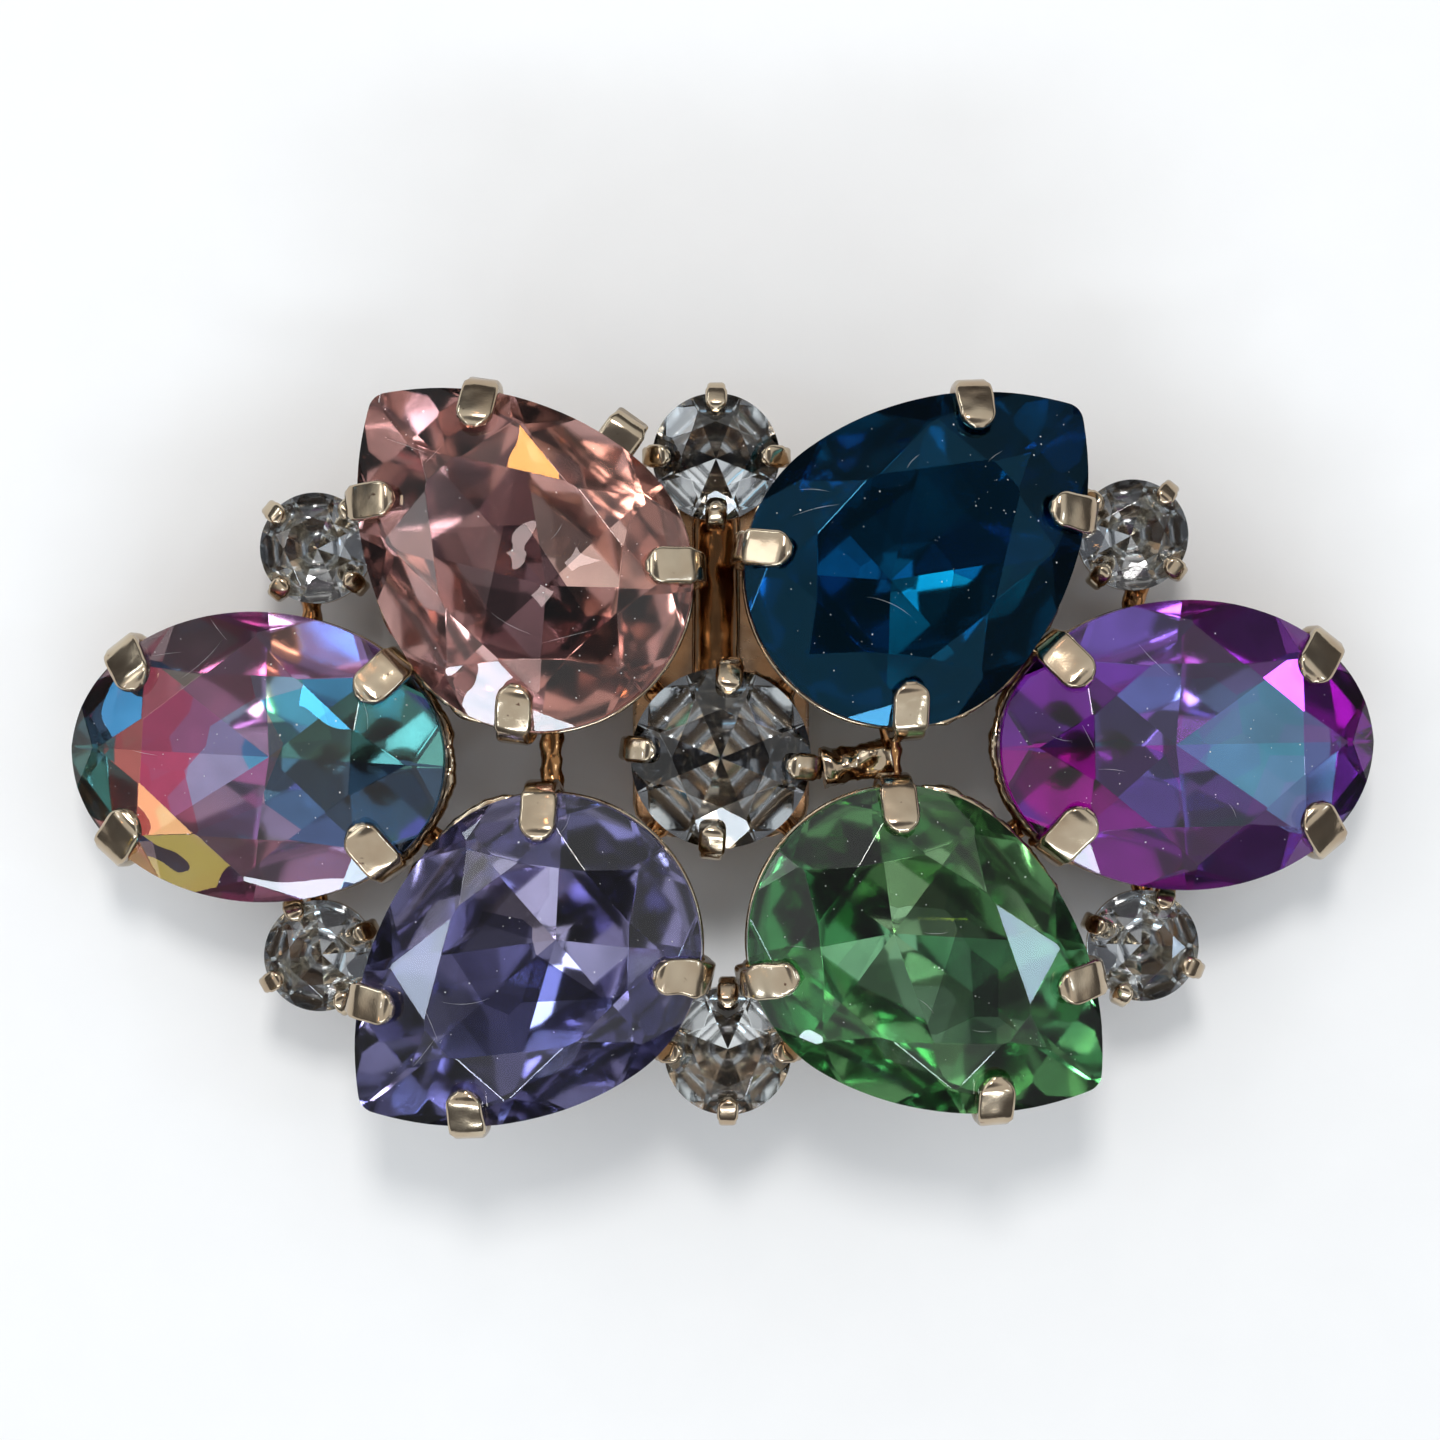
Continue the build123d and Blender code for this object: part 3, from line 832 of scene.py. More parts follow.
violetStone = {
    "piece": "violetStone", "node": "violet_pear_stone", "slot": "violet_glass",
    "heading": 220.8, **pearSeat, "soak": (0.6, 0.58, 0.8), "depth": 42, "sweep": 55.0,
    "crownTintAndShade": {
        -139: (0.78, 0.8, 0.98), 170: (0.8, 0.82, 0.97), 120: (0.86, 0.8, 0.92), 60: (0.9, 0.86, 0.98),
        10: (0.9, 0.88, 1.0), -40: (0.84, 0.82, 0.98), -95: (0.74, 0.74, 0.92),
    },
    "tableTintAndShade": [
        (0.1, (0.6, 0.62, 0.92)), (0.28, (0.26, 0.28, 0.52)), (0.36, (0.02, 0.02, 0.06)),
        (0.52, (0.04, 0.04, 0.11)), (0.6, (0.8, 0.7, 0.8)), (0.88, (0.98, 0.93, 1.0)),
    ],
    "foilAndShade": {
        -139: (0.18, 0.19, 0.3), 175: (0.56, 0.54, 0.62), 135: (0.82, 0.76, 0.8), 85: (0.8, 0.78, 0.88),
        40: (0.8, 0.78, 0.94), -10: (0.62, 0.62, 0.8), -60: (0.4, 0.42, 0.58), -100: (0.24, 0.25, 0.38),
    },
    "clawLumps": {129: 0.2},
}
greenStone = {
    "piece": "greenStone", "node": "green_pear_stone", "slot": "green_glass",
    "heading": 323.7, **pearSeat, "soak": (0.42, 0.73, 0.48), "depth": 48, "sweep": 38.0,
    "crownTintAndShade": {
        -36: (0.66, 0.92, 0.74), -80: (0.74, 0.96, 0.8), -130: (0.66, 0.96, 0.72), 175: (0.54, 0.94, 0.62),
        130: (0.56, 0.9, 0.62), 80: (0.66, 0.82, 0.58), 30: (0.6, 0.82, 0.62), 0: (0.7, 0.9, 0.8),
    },
    "tableTintAndShade": [
        (0.1, (0.7, 0.94, 0.76)), (0.4, (0.9, 1.0, 0.94)), (0.46, (0.05, 0.08, 0.06)),
        (0.6, (0.015, 0.03, 0.02)), (0.68, (0.4, 0.42, 0.26)), (0.9, (0.1, 0.2, 0.12)),
    ],
    "foilAndShade": {
        -36: (0.2, 0.27, 0.22), -75: (0.44, 0.62, 0.48), -120: (0.62, 0.86, 0.66), -165: (0.54, 0.84, 0.62),
        150: (0.4, 0.78, 0.48), 105: (0.56, 0.62, 0.44), 60: (0.52, 0.62, 0.44), 10: (0.42, 0.62, 0.5),
    },
    "clawLumps": {-129: 0.24},
}
redOval = {
    "piece": "redOval", "node": "red_oval_stone", "slot": "red_coated_glass",
    "heading": 177.0, **ovalSeat, "soak": (0.84, 0.78, 0.88), "depth": 24, "sweep": 0.0,
    "crownTintAndShade": {
        180: (0.9, 0.58, 0.16), 150: (0.78, 0.36, 0.22), 120: (0.64, 0.26, 0.28), 92: (0.8, 0.08, 0.3),
        65: (0.7, 0.12, 0.38), 38: (0.4, 0.08, 0.46), 14: (0.01, 0.2, 0.6), -12: (0.01, 0.16, 0.52),
        -40: (0.02, 0.2, 0.66), -68: (0.46, 0.3, 0.54), -92: (0.54, 0.22, 0.26), -118: (0.4, 0.62, 0.56),
        -140: (1.0, 0.8, 0.08), -160: (1.0, 0.56, 0.14),
    },
    "tableTintAndShade": [
        (0.05, (0.6, 0.03, 0.14)), (0.28, (0.54, 0.09, 0.26)), (0.38, (0.4, 0.34, 0.66)),
        (0.56, (0.4, 0.46, 0.86)), (0.68, (0.03, 0.6, 1.0)), (0.86, (0.01, 0.18, 0.56)),
    ],
    "foilAndShade": {
        148: (0.62, 0.55, 0.55), 104: (0.8, 0.75, 0.82), 70: (0.8, 0.9, 1.0), 26: (0.7, 0.8, 0.88),
        -32: (0.66, 0.76, 0.95), -76: (0.84, 0.83, 0.96), -110: (0.92, 0.92, 0.88), -154: (0.95, 0.9, 0.78),
    },
}
purpleOval = {
    "piece": "purpleOval", "node": "purple_oval_stone", "slot": "purple_coated_glass",
    "heading": 1.0, **ovalSeat, "soak": (0.8, 0.62, 0.88), "depth": 26, "sweep": -70.0,
    "crownTintAndShade": {
        180: (0.9, 0.01, 0.8), 155: (0.84, 0.02, 0.7), 128: (0.66, 0.1, 0.8), 100: (0.72, 0.03, 0.44),
        75: (0.95, 0.03, 0.4), 50: (0.8, 0.03, 0.56), 25: (0.84, 0.01, 0.6), 0: (0.4, 0.16, 0.6),
        -25: (0.34, 0.3, 0.6), -55: (0.52, 0.38, 0.76), -80: (0.76, 0.1, 0.72), -105: (0.84, 0.01, 0.52),
        -130: (0.62, 0.02, 0.62), -155: (0.92, 0.01, 0.76),
    },
    "tableTintAndShade": [
        (0.1, (0.36, 0.2, 0.52)), (0.36, (0.26, 0.26, 0.62)), (0.48, (0.2, 0.46, 0.7)),
        (0.6, (0.08, 0.56, 0.58)), (0.8, (0.12, 0.58, 0.62)), (0.95, (0.44, 0.4, 0.78)),
    ],
    "foilAndShade": {
        150: (0.72, 0.52, 0.78), 107: (0.62, 0.6, 0.84), 73: (0.6, 0.48, 0.56), 29: (0.58, 0.44, 0.58),
        -29: (0.56, 0.6, 0.74), -73: (0.48, 0.8, 0.78), -107: (0.52, 0.72, 0.8), -151: (0.8, 0.48, 0.82),
    },
}
# The round stones' backs alternate dark and light by direction: painted reflections, the dark and bright
# wedges that a round stone mirrors of the room; the bright glass has lighter ones
clearGlass = {
    "slot": "clear_glass", "lean": 0.0, "tint": (0.97, 0.985, 1.0), "soak": (0.84, 0.87, 0.88), "depth": 20,
    "foilAndShade": {
        0: (0.30, 0.31, 0.33), 45: (0.95, 0.97, 0.98), 90: (0.36, 0.37, 0.39), 135: (0.90, 0.92, 0.93),
        180: (0.26, 0.27, 0.29), 225: (0.97, 0.98, 0.97), 270: (0.46, 0.40, 0.32), 315: (0.93, 0.95, 0.96),
    },
}
brightGlass = {
    "slot": "clear_glass", "lean": 0.0, "tint": (0.98, 0.99, 1.0), "soak": (0.84, 0.87, 0.88), "depth": 8,
    "foilAndShade": {
        0: (0.70, 0.72, 0.74), 45: (0.98, 1.0, 1.0), 90: (0.62, 0.64, 0.66), 135: (0.98, 1.0, 1.0),
        180: (0.74, 0.76, 0.78), 225: (0.98, 1.0, 1.0), 270: (0.58, 0.56, 0.54), 315: (0.98, 1.0, 1.0),
    },
}


def roundStone(piece, node, cut, heading, glass):
    return {"piece": piece, "node": node, "cut": cut, "heading": heading, **glass}


centreStone = roundStone("centreStone", "centre_round_stone", centreCut, 0.0, clearGlass)
topStone = roundStone("topStone", "top_round_stone", endCut, 0.0, clearGlass)
bottomStone = roundStone("bottomStone", "bottom_round_stone", endCut, 0.0, brightGlass)
upperLeftStone = roundStone("upperLeftStone", "upper_left_round_stone", cornerCut, 4.0, brightGlass)
upperRightStone = roundStone("upperRightStone", "upper_right_round_stone", cornerCut, 6.0, brightGlass)
lowerLeftStone = roundStone("lowerLeftStone", "lower_left_round_stone", cornerCut, -17.0, brightGlass)
lowerRightStone = roundStone("lowerRightStone", "lower_right_round_stone", cornerCut, 21.0, brightGlass)
stones = [
    roseStone, tealStone, violetStone, greenStone, redOval, purpleOval, centreStone, topStone,
    bottomStone, upperLeftStone, upperRightStone, lowerLeftStone, lowerRightStone,
]
for stone in stones:
    seatStone(stone)
    makeStone(stone)
    makeCup(stone)
    print("set %s in its cup" % stone["piece"])


# Solder ties lie low between the cups and take deep painted shade; the run beside the centre takes none
solderTies = {
    "radius": 0.6, "waist": 0.78, "lump": 0.14, "paintedShade": 0.8, "steps": 26, "sides": 28,
    "lumpScale": 1.6, "fineScale": 2.6, "fineShare": 0.3, "seedStep": 5.1, "runSeed": 40,
    "runRadius": 1.6, "runLump": 1.7,  # the bright run beside the centre, against a tie
}
tiedCups = [
    (centreStone, [roseStone, tealStone, violetStone, greenStone]), (topStone, [roseStone, tealStone]),
    (bottomStone, [violetStone, greenStone]), (redOval, [roseStone, violetStone]),
    (purpleOval, [tealStone, greenStone]), (roseStone, [violetStone]), (tealStone, [greenStone]),
    (upperLeftStone, [redOval, roseStone]), (upperRightStone, [purpleOval, tealStone]),
    (lowerLeftStone, [redOval, violetStone]), (lowerRightStone, [purpleOval, greenStone]),
]


def wallPoint(seat, direction, share):
    # the middle of a cup's wall where it faces a direction, a share of the way down
    cut = seat["cut"]
    inset = cut["wall"] / 2 + share * cut["cupFlare"]
    x, y = insetPoint(cut, direction - seat["heading"], inset)
    return seatMatrix(seat) @ Vector((x, y, -cut["rimDrop"] - share * cut["cupDepth"]))


def facing(first, second):
    # the direction in which two outlines stand furthest apart
    def apart(direction):
        across, up = aim(direction)
        between = (second["x"] - first["x"]) * across + (second["y"] - first["y"]) * up
        near = reachOf(first["cut"], direction - first["heading"])
        return between - near - reachOf(second["cut"], direction + 180 - second["heading"])
    return max(range(0, 360, 2), key=apart)


def tieEnds(first, second):
    # in the walls of two neighbouring cups, near the middle of the lower one
    way = facing(first, second)
    sides = ((first, way), (second, way + 180))
    level = min(wallPoint(seat, side, 0.5).z for seat, side in sides)
    ends = []
    for seat, side in sides:
        cut = seat["cut"]
        back = deepestBack(cut, cut["wall"] + solderTies["radius"])
        highest = (solderTies["radius"] + back + stoneGap - cut["rimDrop"]) / cut["cupDepth"]
        rim = wallPoint(seat, side, 0).z
        share = (rim - level) / (rim - wallPoint(seat, side, 1).z)
        ends.append(wallPoint(seat, side, min(max(share, highest), 1)))
    return ends


def ringOf(u, v, sides):
    turns = [2 * pi * k / sides for k in range(sides)]
    return [u * cos(a) + v * sin(a) for a in turns]


def makeTie(bm, start, end, radius, lump, paintedShade, seed):
    # solder drawn between two cups, thinner at its waist and lumpy as it froze
    along = (end - start).normalized()
    u = along.orthogonal().normalized()
    ring = ringOf(u, along.cross(u), solderTies["sides"])
    waist = solderTies["waist"]
    rows = []
    steps = solderTies["steps"]
    for i in range(steps + 1):
        t = i / steps
        size = radius * (waist + (1 - waist) * (2 * t - 1) ** 2)
        row = []
        for out in ring:
            p = start.lerp(end, t) + out * size
            at = p * solderTies["lumpScale"] + Vector((seed * solderTies["seedStep"], 0, 0))
            fine = noise.noise(at * solderTies["fineScale"]) * lump * solderTies["fineShare"]
            p += out * (noise.noise(at) * lump + fine)
            row.append(addPoint(bm, p, paintedShade))
        rows.append(row)
    loftBar(bm, rows)


def makeTies():
    bm = startMetal()
    radius = solderTies["radius"]
    lump = solderTies["lump"]
    pairs = [(first, second) for first, others in tiedCups for second in others]
    for number, (first, second) in enumerate(pairs):
        start, end = tieEnds(first, second)
        makeTie(bm, start, end, radius, lump, solderTies["paintedShade"], number)
    # the bright run of solder from the centre's right claw to the tie beyond it
    tealEnd, greenEnd = tieEnds(tealStone, greenStone)
    across, up = aim(centreCut["claws"][0])
    reach = centreCut["width"] / 2 + stoneGap + centreCut["clawMetal"]
    claw = seatMatrix(centreStone) @ Vector((reach * across, reach * up, 0))
    radius *= solderTies["runRadius"]
    lump *= solderTies["runLump"]
    makeTie(bm, claw, (tealEnd + greenEnd) / 2, radius, lump, 0.0, solderTies["runSeed"])
    makeFramePiece("solderTies", bm)


makeTies()
print("cups soldered together")


# Where the solder ran along a cup's rim, from one direction of the stone to another
solderRuns = {
    "thickness": 0.30, "lump": 0.16, "inset": 0.08, "drop": 0.75, "tail": 9, "thinnest": 0.12,
    "stepsPerDegree": 1.1, "sides": 14, "wave": (0.80, 0.7, 0.55), "paintedShade": (0.25, 0.35, 1.7),
    "shakeScale": 1.3, "fineScale": 3.7, "fineShare": 0.35, "seedStep": 3.0,
    "places": [
        (purpleOval, 118, 243), (redOval, 128, 236), (greenStone, 60, 118), (tealStone, -120, -64),
        (roseStone, 62, 116), (violetStone, -118, -70), (centreStone, 25, 78),
    ],
}


def makeSolderRun(bm, seat, first, last, number):
    cut = seat["cut"]
    matrix = seatMatrix(seat)
    thickness = solderRuns["thickness"]
    tail = solderRuns["tail"]
    size, swell, waveScale = solderRuns["wave"]
    # painted shade along the run, made patchy by noise
    paintedShade, change, recessScale = solderRuns["paintedShade"]
    shift = Vector((number * solderRuns["seedStep"], 0, 0))
    steps = int((last - first) * solderRuns["stepsPerDegree"])
    rows = []
    for i in range(steps + 1):
        direction = first + (last - first) * i / steps
        thin = min(1.0, i / tail, (steps - i) / tail)
        x, y = outlineAt(cut, direction, -solderRuns["inset"])
        middle = Vector((x, y, -cut["rimDrop"] - thickness * solderRuns["drop"]))
        wave = size + swell * noise.noise(middle * waveScale + shift)
        radius = thickness * max(solderRuns["thinnest"], thin ** 0.5) * wave
        row = []
        for out in ringOf(Vector((*aim(direction), 0)), Vector((0, 0, 1)), solderRuns["sides"]):
            p = middle + out * radius
            fine = solderRuns["fineShare"] * noise.noise(p * solderRuns["fineScale"])
            shake = noise.noise(p * solderRuns["shakeScale"]) + fine
            p += out * shake * solderRuns["lump"] * thin
            row.append(addPoint(bm, matrix @ p, paintedShade + change * noise.noise(p * recessScale)))
        rows.append(row)
    loftBar(bm, rows)


def makeSolderRuns():
    bm = startMetal()
    for number, (seat, first, last) in enumerate(solderRuns["places"]):
        makeSolderRun(bm, seat, first, last, number)
    makeFramePiece("solderRuns", bm)


makeSolderRuns()
print("solder run along the rims")


strapBar = {
    "middle": -0.22, "start": 2.95, "end": 11.35, "half": 1.08, "metal": 0.95, "hollow": 0.30, "edge": 0.22,
    "taper": 0.9, "endWidth": 0.55, "widening": 0.45, "hollowStart": 1.2, "hollowShape": 0.8,
    "hollowParts": 8, "steps": 48, "softness": 0.3, "paintedShadeMiddle": 0.95, "paintedShadeEdge": 0.45,
    "waveScale": 0.7, "waveAside": 0.03, "waveDown": 0.10,
}


def makeStrap(strap):
    # a flat strap with a hollow worn along its middle and rounded ends
    bm = startMetal()
    rows = []
    steps = strap["steps"]
    parts = strap["hollowParts"]
    length = strap["end"] - strap["start"]
    top = strap["metal"]
    edge = strap["edge"]
    soft = edge * strap["softness"]
    for i in range(steps + 1):
        y = strap["start"] + length * i / steps
        toEnd = min(y - strap["start"], strap["end"] - y)
        half = strap["half"]
        if toEnd < strap["taper"]:
            rounding = sqrt(max(1 - (1 - toEnd / strap["taper"]) ** 2, 0))
            half *= strap["endWidth"] + strap["widening"] * rounding
        hollow = strap["hollow"] * min(1.0, toEnd / strap["hollowStart"])
        side = [(-half, 0.0), (-half, top - edge), (-half + soft, top - soft), (-half + edge, top)]
        section = list(side)
        for k in range(1, parts):
            q = k / parts
            v = -half + edge + (2 * half - 2 * edge) * q
            section.append((v, top - hollow * sin(pi * q) ** strap["hollowShape"]))
        section += [(-v, h) for v, h in reversed(side)]
        row = []
        for v, h in section:
            p = Vector((strap["middle"] + v, y, stand + h))
            wave = noise.noise(p * strap["waveScale"])
            p += Vector((wave * strap["waveAside"], 0, -abs(wave) * strap["waveDown"] * (h > 0.1)))
            # painted shade: the hollow middle is darkened brown more than the edges
            paintedStrapShade = strap["paintedShadeMiddle"] if abs(v) < half - edge else strap["paintedShadeEdge"]
            row.append(addPoint(bm, p, paintedStrapShade))
        rows.append(row)
    loftBar(bm, rows)
    makeFramePiece("backStrap", bm)


makeStrap(strapBar)


sideTab = {
    "x": -4.851, "y": 13.727, "top": 7.76, "direction": 55.4, "reach": 1.33, "half": 0.92, "metal": 0.75,
    "edge": 0.2, "lump": 0.05, "paintedShade": 0.1, "root": -0.15, "droop": [(0.7, 0), (0.93, -0.05), (1, -0.2)],
    "step": 0.15, "tipWidth": 0.9, "tipMetal": 0.75, "seed": 3.3,
}


def makeTab(tab):
    # a short flat tab that droops and thins at its tip
    bm = startMetal()
    points = [(tab["root"], 0)] + [(tab["reach"] * share, height) for share, height in tab["droop"]]
    path = spread([Vector(p) for p in points], tab["step"])
    full = len(path) - 2
    halves = [tab["half"]] * full + [tab["half"] * tab["tipWidth"]] * 2
    metals = [tab["metal"]] * full + [tab["metal"] * tab["tipMetal"]] * 2
    turned = Matrix.Rotation(radians(tab["direction"]), 4, "Z")
    place = Matrix.Translation((tab["x"], tab["y"], tab["top"] - tab["metal"])) @ turned
    # the tab takes a little painted shade all over
    sweepBar(bm, path, halves, metals, tab["edge"], place, lambda z: tab["paintedShade"], tab["lump"], tab["seed"])
    makeFramePiece("sideTab", bm)


makeTab(sideTab)
print("strap and tab fitted")


clipBar = {
    "width": 8.0, "metal": 0.8, "grip": 2.0, "mouth": -3.6, "bend": 10.87, "edge": 0.22, "corner": 1.6,
    "paintedShade": 0.35, "turns": 17, "step": 0.5,
}
# The "deep" colour is painted shade: the brown that the clip's plating is darkened toward
clipFinish = {
    "plate": (0.70, 0.55, 0.40), "shade": (0.58, 0.42, 0.28), "tarnish": (0.16, 0.09, 0.05),
    "deep": (0.36, 0.20, 0.10), "roughness": (0.18, 0.34), "waves": 0.2,
}


def makeClip(clip):
    # a strip folded round its slot, with the corners of both ends rounded
    bm = startMetal()
    metal = clip["metal"]
    mouth = clip["mouth"]
    bend = clip["bend"]
    corner = clip["corner"]
    r = clip["grip"] / 2
    turns = clip["turns"]
    path = [Vector((mouth, metal)), Vector((bend, metal))]
    for k in range(1, turns):
        x, y = aim(-90 + 180 * k / turns)
        path.append(Vector((bend + r * x, metal + r + r * y)))
    path += [Vector((bend, metal + 2 * r)), Vector((mouth, metal + 2 * r))]
    # the bar lies outside the fold, so the path is walked with the slot on its right
    path = spread(path, clip["step"])[::-1]
    halves = []
    for p in path:
        inset = p.x - mouth
        half = clip["width"] / 2
        if inset < corner:
            half -= corner - sqrt(max(corner ** 2 - (corner - inset) ** 2, 0.0))
        halves.append(half)
    place = Matrix(((0, -1, 0, 0), (1, 0, 0, 0), (0, 0, 1, 0), (0, 0, 0, 1)))
    # the clip takes painted shade all over, a set share
    sweepBar(bm, path, halves, [metal] * len(path), clip["edge"], place, lambda z: clip["paintedShade"])
    makeMetalPiece("springClip", bm, platedMetal("clipPlating", clipFinish), "shoe_clip")


makeClip(clipBar)
print("spring clip folded")


# What lies on the polish: specks of dust, and hair-fine marks from wiping on the larger stones
dust = {
    "perSquare": 0.32, "speck": (0.012, 0.045), "skew": 2.5, "corners": 5, "cornerReach": (0.6, 1.3),
    "lift": 0.012, "rise": 0.4, "foot": 0.001, "spread": 0.93,
    "marks": 5, "markLength": (0.7, 2.4), "markWidth": 0.011, "markFoot": 0.0006, "markRidge": 0.006,
    "markSpread": 0.8, "markBend": 40, "markSteps": 14, "marksFrom": 10, "seed": 11,
    "colour": (0.80, 0.80, 0.79), "shade": 0.6, "toneScale": 1800, "roughness": 0.6,
}


def drawSpot(draw, cut, share):
    # anywhere on the stone, out to a share of its outline
    x, y = outlineAt(cut, draw.uniform(0, 360))
    inward = share * sqrt(draw.random())
    return x * inward, y * inward


def makeSpeck(bm, draw, cut, onCrown):
    # a low uneven cone
    x, y = drawSpot(draw, cut, dust["spread"])
    low, high = dust["speck"]
    size = low + (high - low) * draw.random() ** dust["skew"]
    turn = draw.uniform(0, 360)
    corners = dust["corners"]
    ring = []
    for k in range(corners):
        across, up = aim(turn + 360 / corners * k)
        reach = size * draw.uniform(*dust["cornerReach"])
        ring.append(bm.verts.new(onCrown(x + reach * across, y + reach * up, dust["foot"])))
    tip = bm.verts.new(onCrown(x, y, dust["lift"] + size * dust["rise"]))
    bm.faces.new(ring[::-1])
    for k in range(corners):
        bm.faces.new((ring[k], ring[(k + 1) % corners], tip))


def makeMark(bm, draw, cut, onCrown):
    # a curved hair of a ridge
    x, y = drawSpot(draw, cut, dust["markSpread"])
    length = draw.uniform(*dust["markLength"])
    turn = draw.uniform(0, 360)
    bend = draw.uniform(-dust["markBend"], dust["markBend"])
    rows = []
    steps = dust["markSteps"]
    for i in range(steps + 1):
        across, up = aim(turn + bend * i / steps)
        x += across * length / steps
        y += up * length / steps
        half = dust["markWidth"] * sin(pi * (i + 0.5) / (steps + 1)) / 2
        sides = [(-half, dust["markFoot"]), (half, dust["markFoot"]), (0.0, dust["markRidge"])]
        rows.append([bm.verts.new(onCrown(x - up * v, y + across * v, h)) for v, h in sides])
    loftBar(bm, rows)


def makeDust():
    draw = random.Random(dust["seed"])
    bm = bmesh.new()
    for stone in stones:
        cut = stone["cut"]
        matrix = seatMatrix(stone)

        def onCrown(x, y, lift):
            return matrix @ Vector((x, y, cut["girdle"] + crownHeight(cut, x, y) + lift))

        for number in range(int(dust["perSquare"] * cut["length"] * cut["width"])):
            makeSpeck(bm, draw, cut, onCrown)
        if cut["length"] >= dust["marksFrom"]:
            for number in range(dust["marks"]):
                makeMark(bm, draw, cut, onCrown)
    material, tree, shader = startMaterial("stoneDust")
    stops = [(0.3, tuple(c * dust["shade"] for c in dust["colour"])), (0.6, dust["colour"])]
    tone = rampOf(tree, grainOf(tree, partPlace(tree), dust["toneScale"], 1), stops)
    plug(tree, shader, {"Base Color": tone, "Roughness": dust["roughness"]})
    bmesh.ops.recalc_face_normals(bm, faces=bm.faces)
    makePiece("stoneDust", bm, [material], [])


makeDust()
print("dust settled on the stones")


floorSheet = {
    "half": 1.5, "colour": (0.86, 0.86, 0.855), "roughness": 0.6, "shade": 0.985, "toneScale": 260,
    "fibreScale": 2400, "fibreStrength": 0.05, "fibreHeight": 0.0001,
}


def makeFloor(sheet):
    # a sheet of matt paper under the piece
    bm = bmesh.new()
    bmesh.ops.create_grid(bm, x_segments=2, y_segments=2, size=sheet["half"])
    material, tree, shader = startMaterial("floorPaper")
    place = partPlace(tree)
    stops = [(0.3, tuple(c * sheet["shade"] for c in sheet["colour"])), (0.7, sheet["colour"])]
    fibres = grainOf(tree, place, sheet["fibreScale"], 3)
    plug(tree, shader, {
        "Base Color": rampOf(tree, grainOf(tree, place, sheet["toneScale"], 4), stops),
        "Roughness": sheet["roughness"],
        "Normal": bumpOf(tree, fibres, sheet["fibreStrength"], sheet["fibreHeight"]),
    })
    linkMesh("floorSheet", bm, [material])


# Softboxes: the direction that each stands in and its height in degrees, how far away it is, its
# width and height in metres, how bright it looks and its colour. A glint stands where one facet
# mirrors it to the camera.
lightMiddle = Vector((0.0, 0.0, 0.008))
softboxes = {
    "windowLight": (-92, 28.5, 0.75, 0.62, 0.06, 17, (0.8, 0.9, 1.0)),
    "sideWindow": (-3, 38, 0.75, 0.07, 0.09, 11, (0.58, 0.77, 1.0)),
    "rightWindow": (-57.5, 32, 0.75, 0.03, 0.035, 20, (0.8, 0.9, 1.0)),
    "lowWindow": (-129.5, 31, 0.75, 0.045, 0.09, 18, (0.74, 0.86, 1.0)),
    "farWindow": (-174, 38, 0.75, 0.06, 0.04, 10, (0.66, 0.78, 1.0)),
    "warmGlint": (97.2, 38.6, 0.75, 0.014, 0.022, 26, (1.0, 0.42, 0.1)),
    "pinkGlint": (95.8, 37.4, 0.75, 0.007, 0.030, 16, (1.0, 0.8, 0.74)),
    "tableGlint": (132.4, 68.5, 0.75, 0.012, 0.010, 7, (1.0, 0.82, 0.8)),
    "amberGlint": (-156.7, 28.1, 0.75, 0.03, 0.03, 12, (1.0, 0.55, 0.22)),
    "yellowGlint": (-134.1, 13.6, 0.75, 0.02, 0.02, 6, (1.0, 0.8, 0.14)),
    "cyanGlint": (176.1, 57.9, 0.75, 0.013, 0.012, 20, (0.08, 0.55, 1.0)),
    "blueGlint": (160.5, 9.7, 0.75, 0.02, 0.012, 8, (0.1, 0.5, 1.0)),
    "doorLight": (132, 19, 0.75, 0.5, 0.06, 7, (0.85, 0.93, 1.0)),
    "leftLight": (160, 40, 0.8, 0.3, 0.24, 1.8, (0.96, 0.97, 1.0)),
    "topLight": (92, 60, 0.75, 0.15, 0.19, 22, (1.0, 0.98, 0.96)),
}


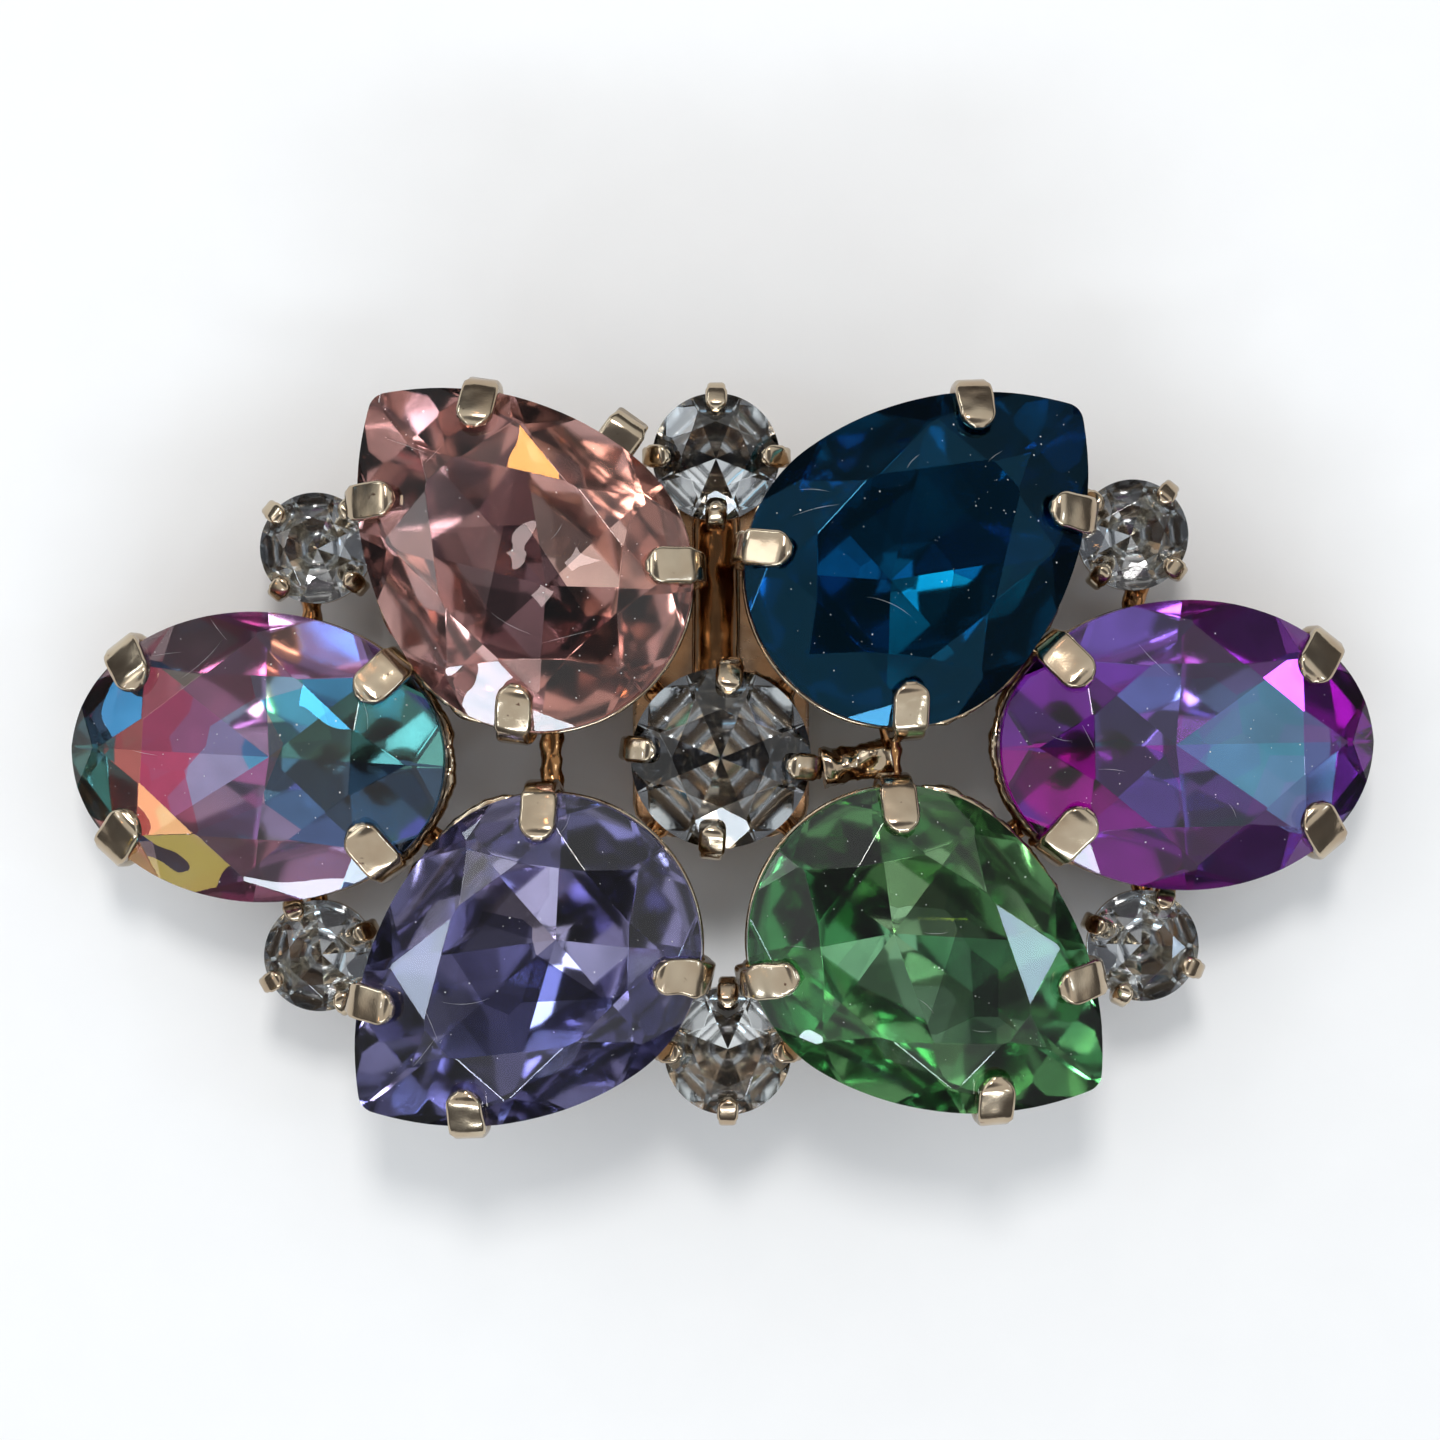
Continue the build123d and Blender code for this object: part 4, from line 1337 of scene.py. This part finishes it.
def makeSoftbox(name, direction, height, away, width, tall, glow, colour):
    light = bpy.data.lights.new(name, "AREA")
    light.shape = "RECTANGLE"
    light.size = width
    light.size_y = tall
    light.energy = glow * pi * light.size * light.size_y
    light.color = colour
    lamp = bpy.data.objects.new(name, light)
    across, up = aim(direction)
    flat, rise = aim(height)
    lamp.location = lightMiddle + Vector((across * flat, up * flat, rise)) * away
    lamp.rotation_euler = (lightMiddle - lamp.location).to_track_quat("-Z", "Y").to_euler()
    bpy.context.scene.collection.objects.link(lamp)


# The room round the table: dim near the horizon and straight above, lighter between
room = {
    "strength": 1.05,
    "tones": [
        (0.0, (0.09, 0.09, 0.095)), (0.50, (0.09, 0.09, 0.095)), (0.65, (0.13, 0.13, 0.135)),
        (0.73, (0.72, 0.74, 0.75)), (0.93, (0.84, 0.85, 0.86)), (0.965, (0.20, 0.20, 0.21)),
        (1.0, (0.13, 0.13, 0.14)),
    ],
}


def makeRoom():
    world = bpy.data.worlds.new("studioRoom")
    world.use_nodes = True
    tree = world.node_tree
    way = addNode(tree, "TexCoord").outputs["Generated"]
    height = addNode(tree, "SeparateXYZ", {"Vector": way}).outputs["Z"]
    tone = rampOf(tree, mathOf(tree, "MULTIPLY_ADD", height, 0.5, 0.5), room["tones"])
    plug(tree, tree.nodes["Background"], {"Color": tone, "Strength": room["strength"]})
    bpy.context.scene.world = world


cameraView = {
    "centre": (-0.04, 1.70), "height": 200.0, "level": 7.5, "frameWidth": 64.0, "sensor": 36.0,
    "nearest": 0.01, "furthest": 10.0,
}


def makeCamera(view):
    # looks straight down, with the frame's width measured at the level of the stones
    camera = bpy.data.cameras.new("photoCamera")
    camera.sensor_width = view["sensor"]
    camera.lens = view["sensor"] * view["height"] / view["frameWidth"]
    camera.clip_start = view["nearest"]
    camera.clip_end = view["furthest"]
    holder = bpy.data.objects.new("photoCamera", camera)
    x, y = view["centre"]
    holder.location = (x * mm, y * mm, (view["level"] + view["height"]) * mm)
    bpy.context.scene.collection.objects.link(holder)
    bpy.context.scene.camera = holder


makeFloor(floorSheet)
for name, box in softboxes.items():
    makeSoftbox(name, *box)
makeRoom()
makeCamera(cameraView)
bpy.context.scene.view_settings.view_transform = "Standard"
bpy.context.scene.cycles.max_bounces = 12
bpy.context.scene.cycles.glossy_bounces = 8
bpy.context.scene.cycles.transmission_bounces = 10
print("floor, light and camera placed")
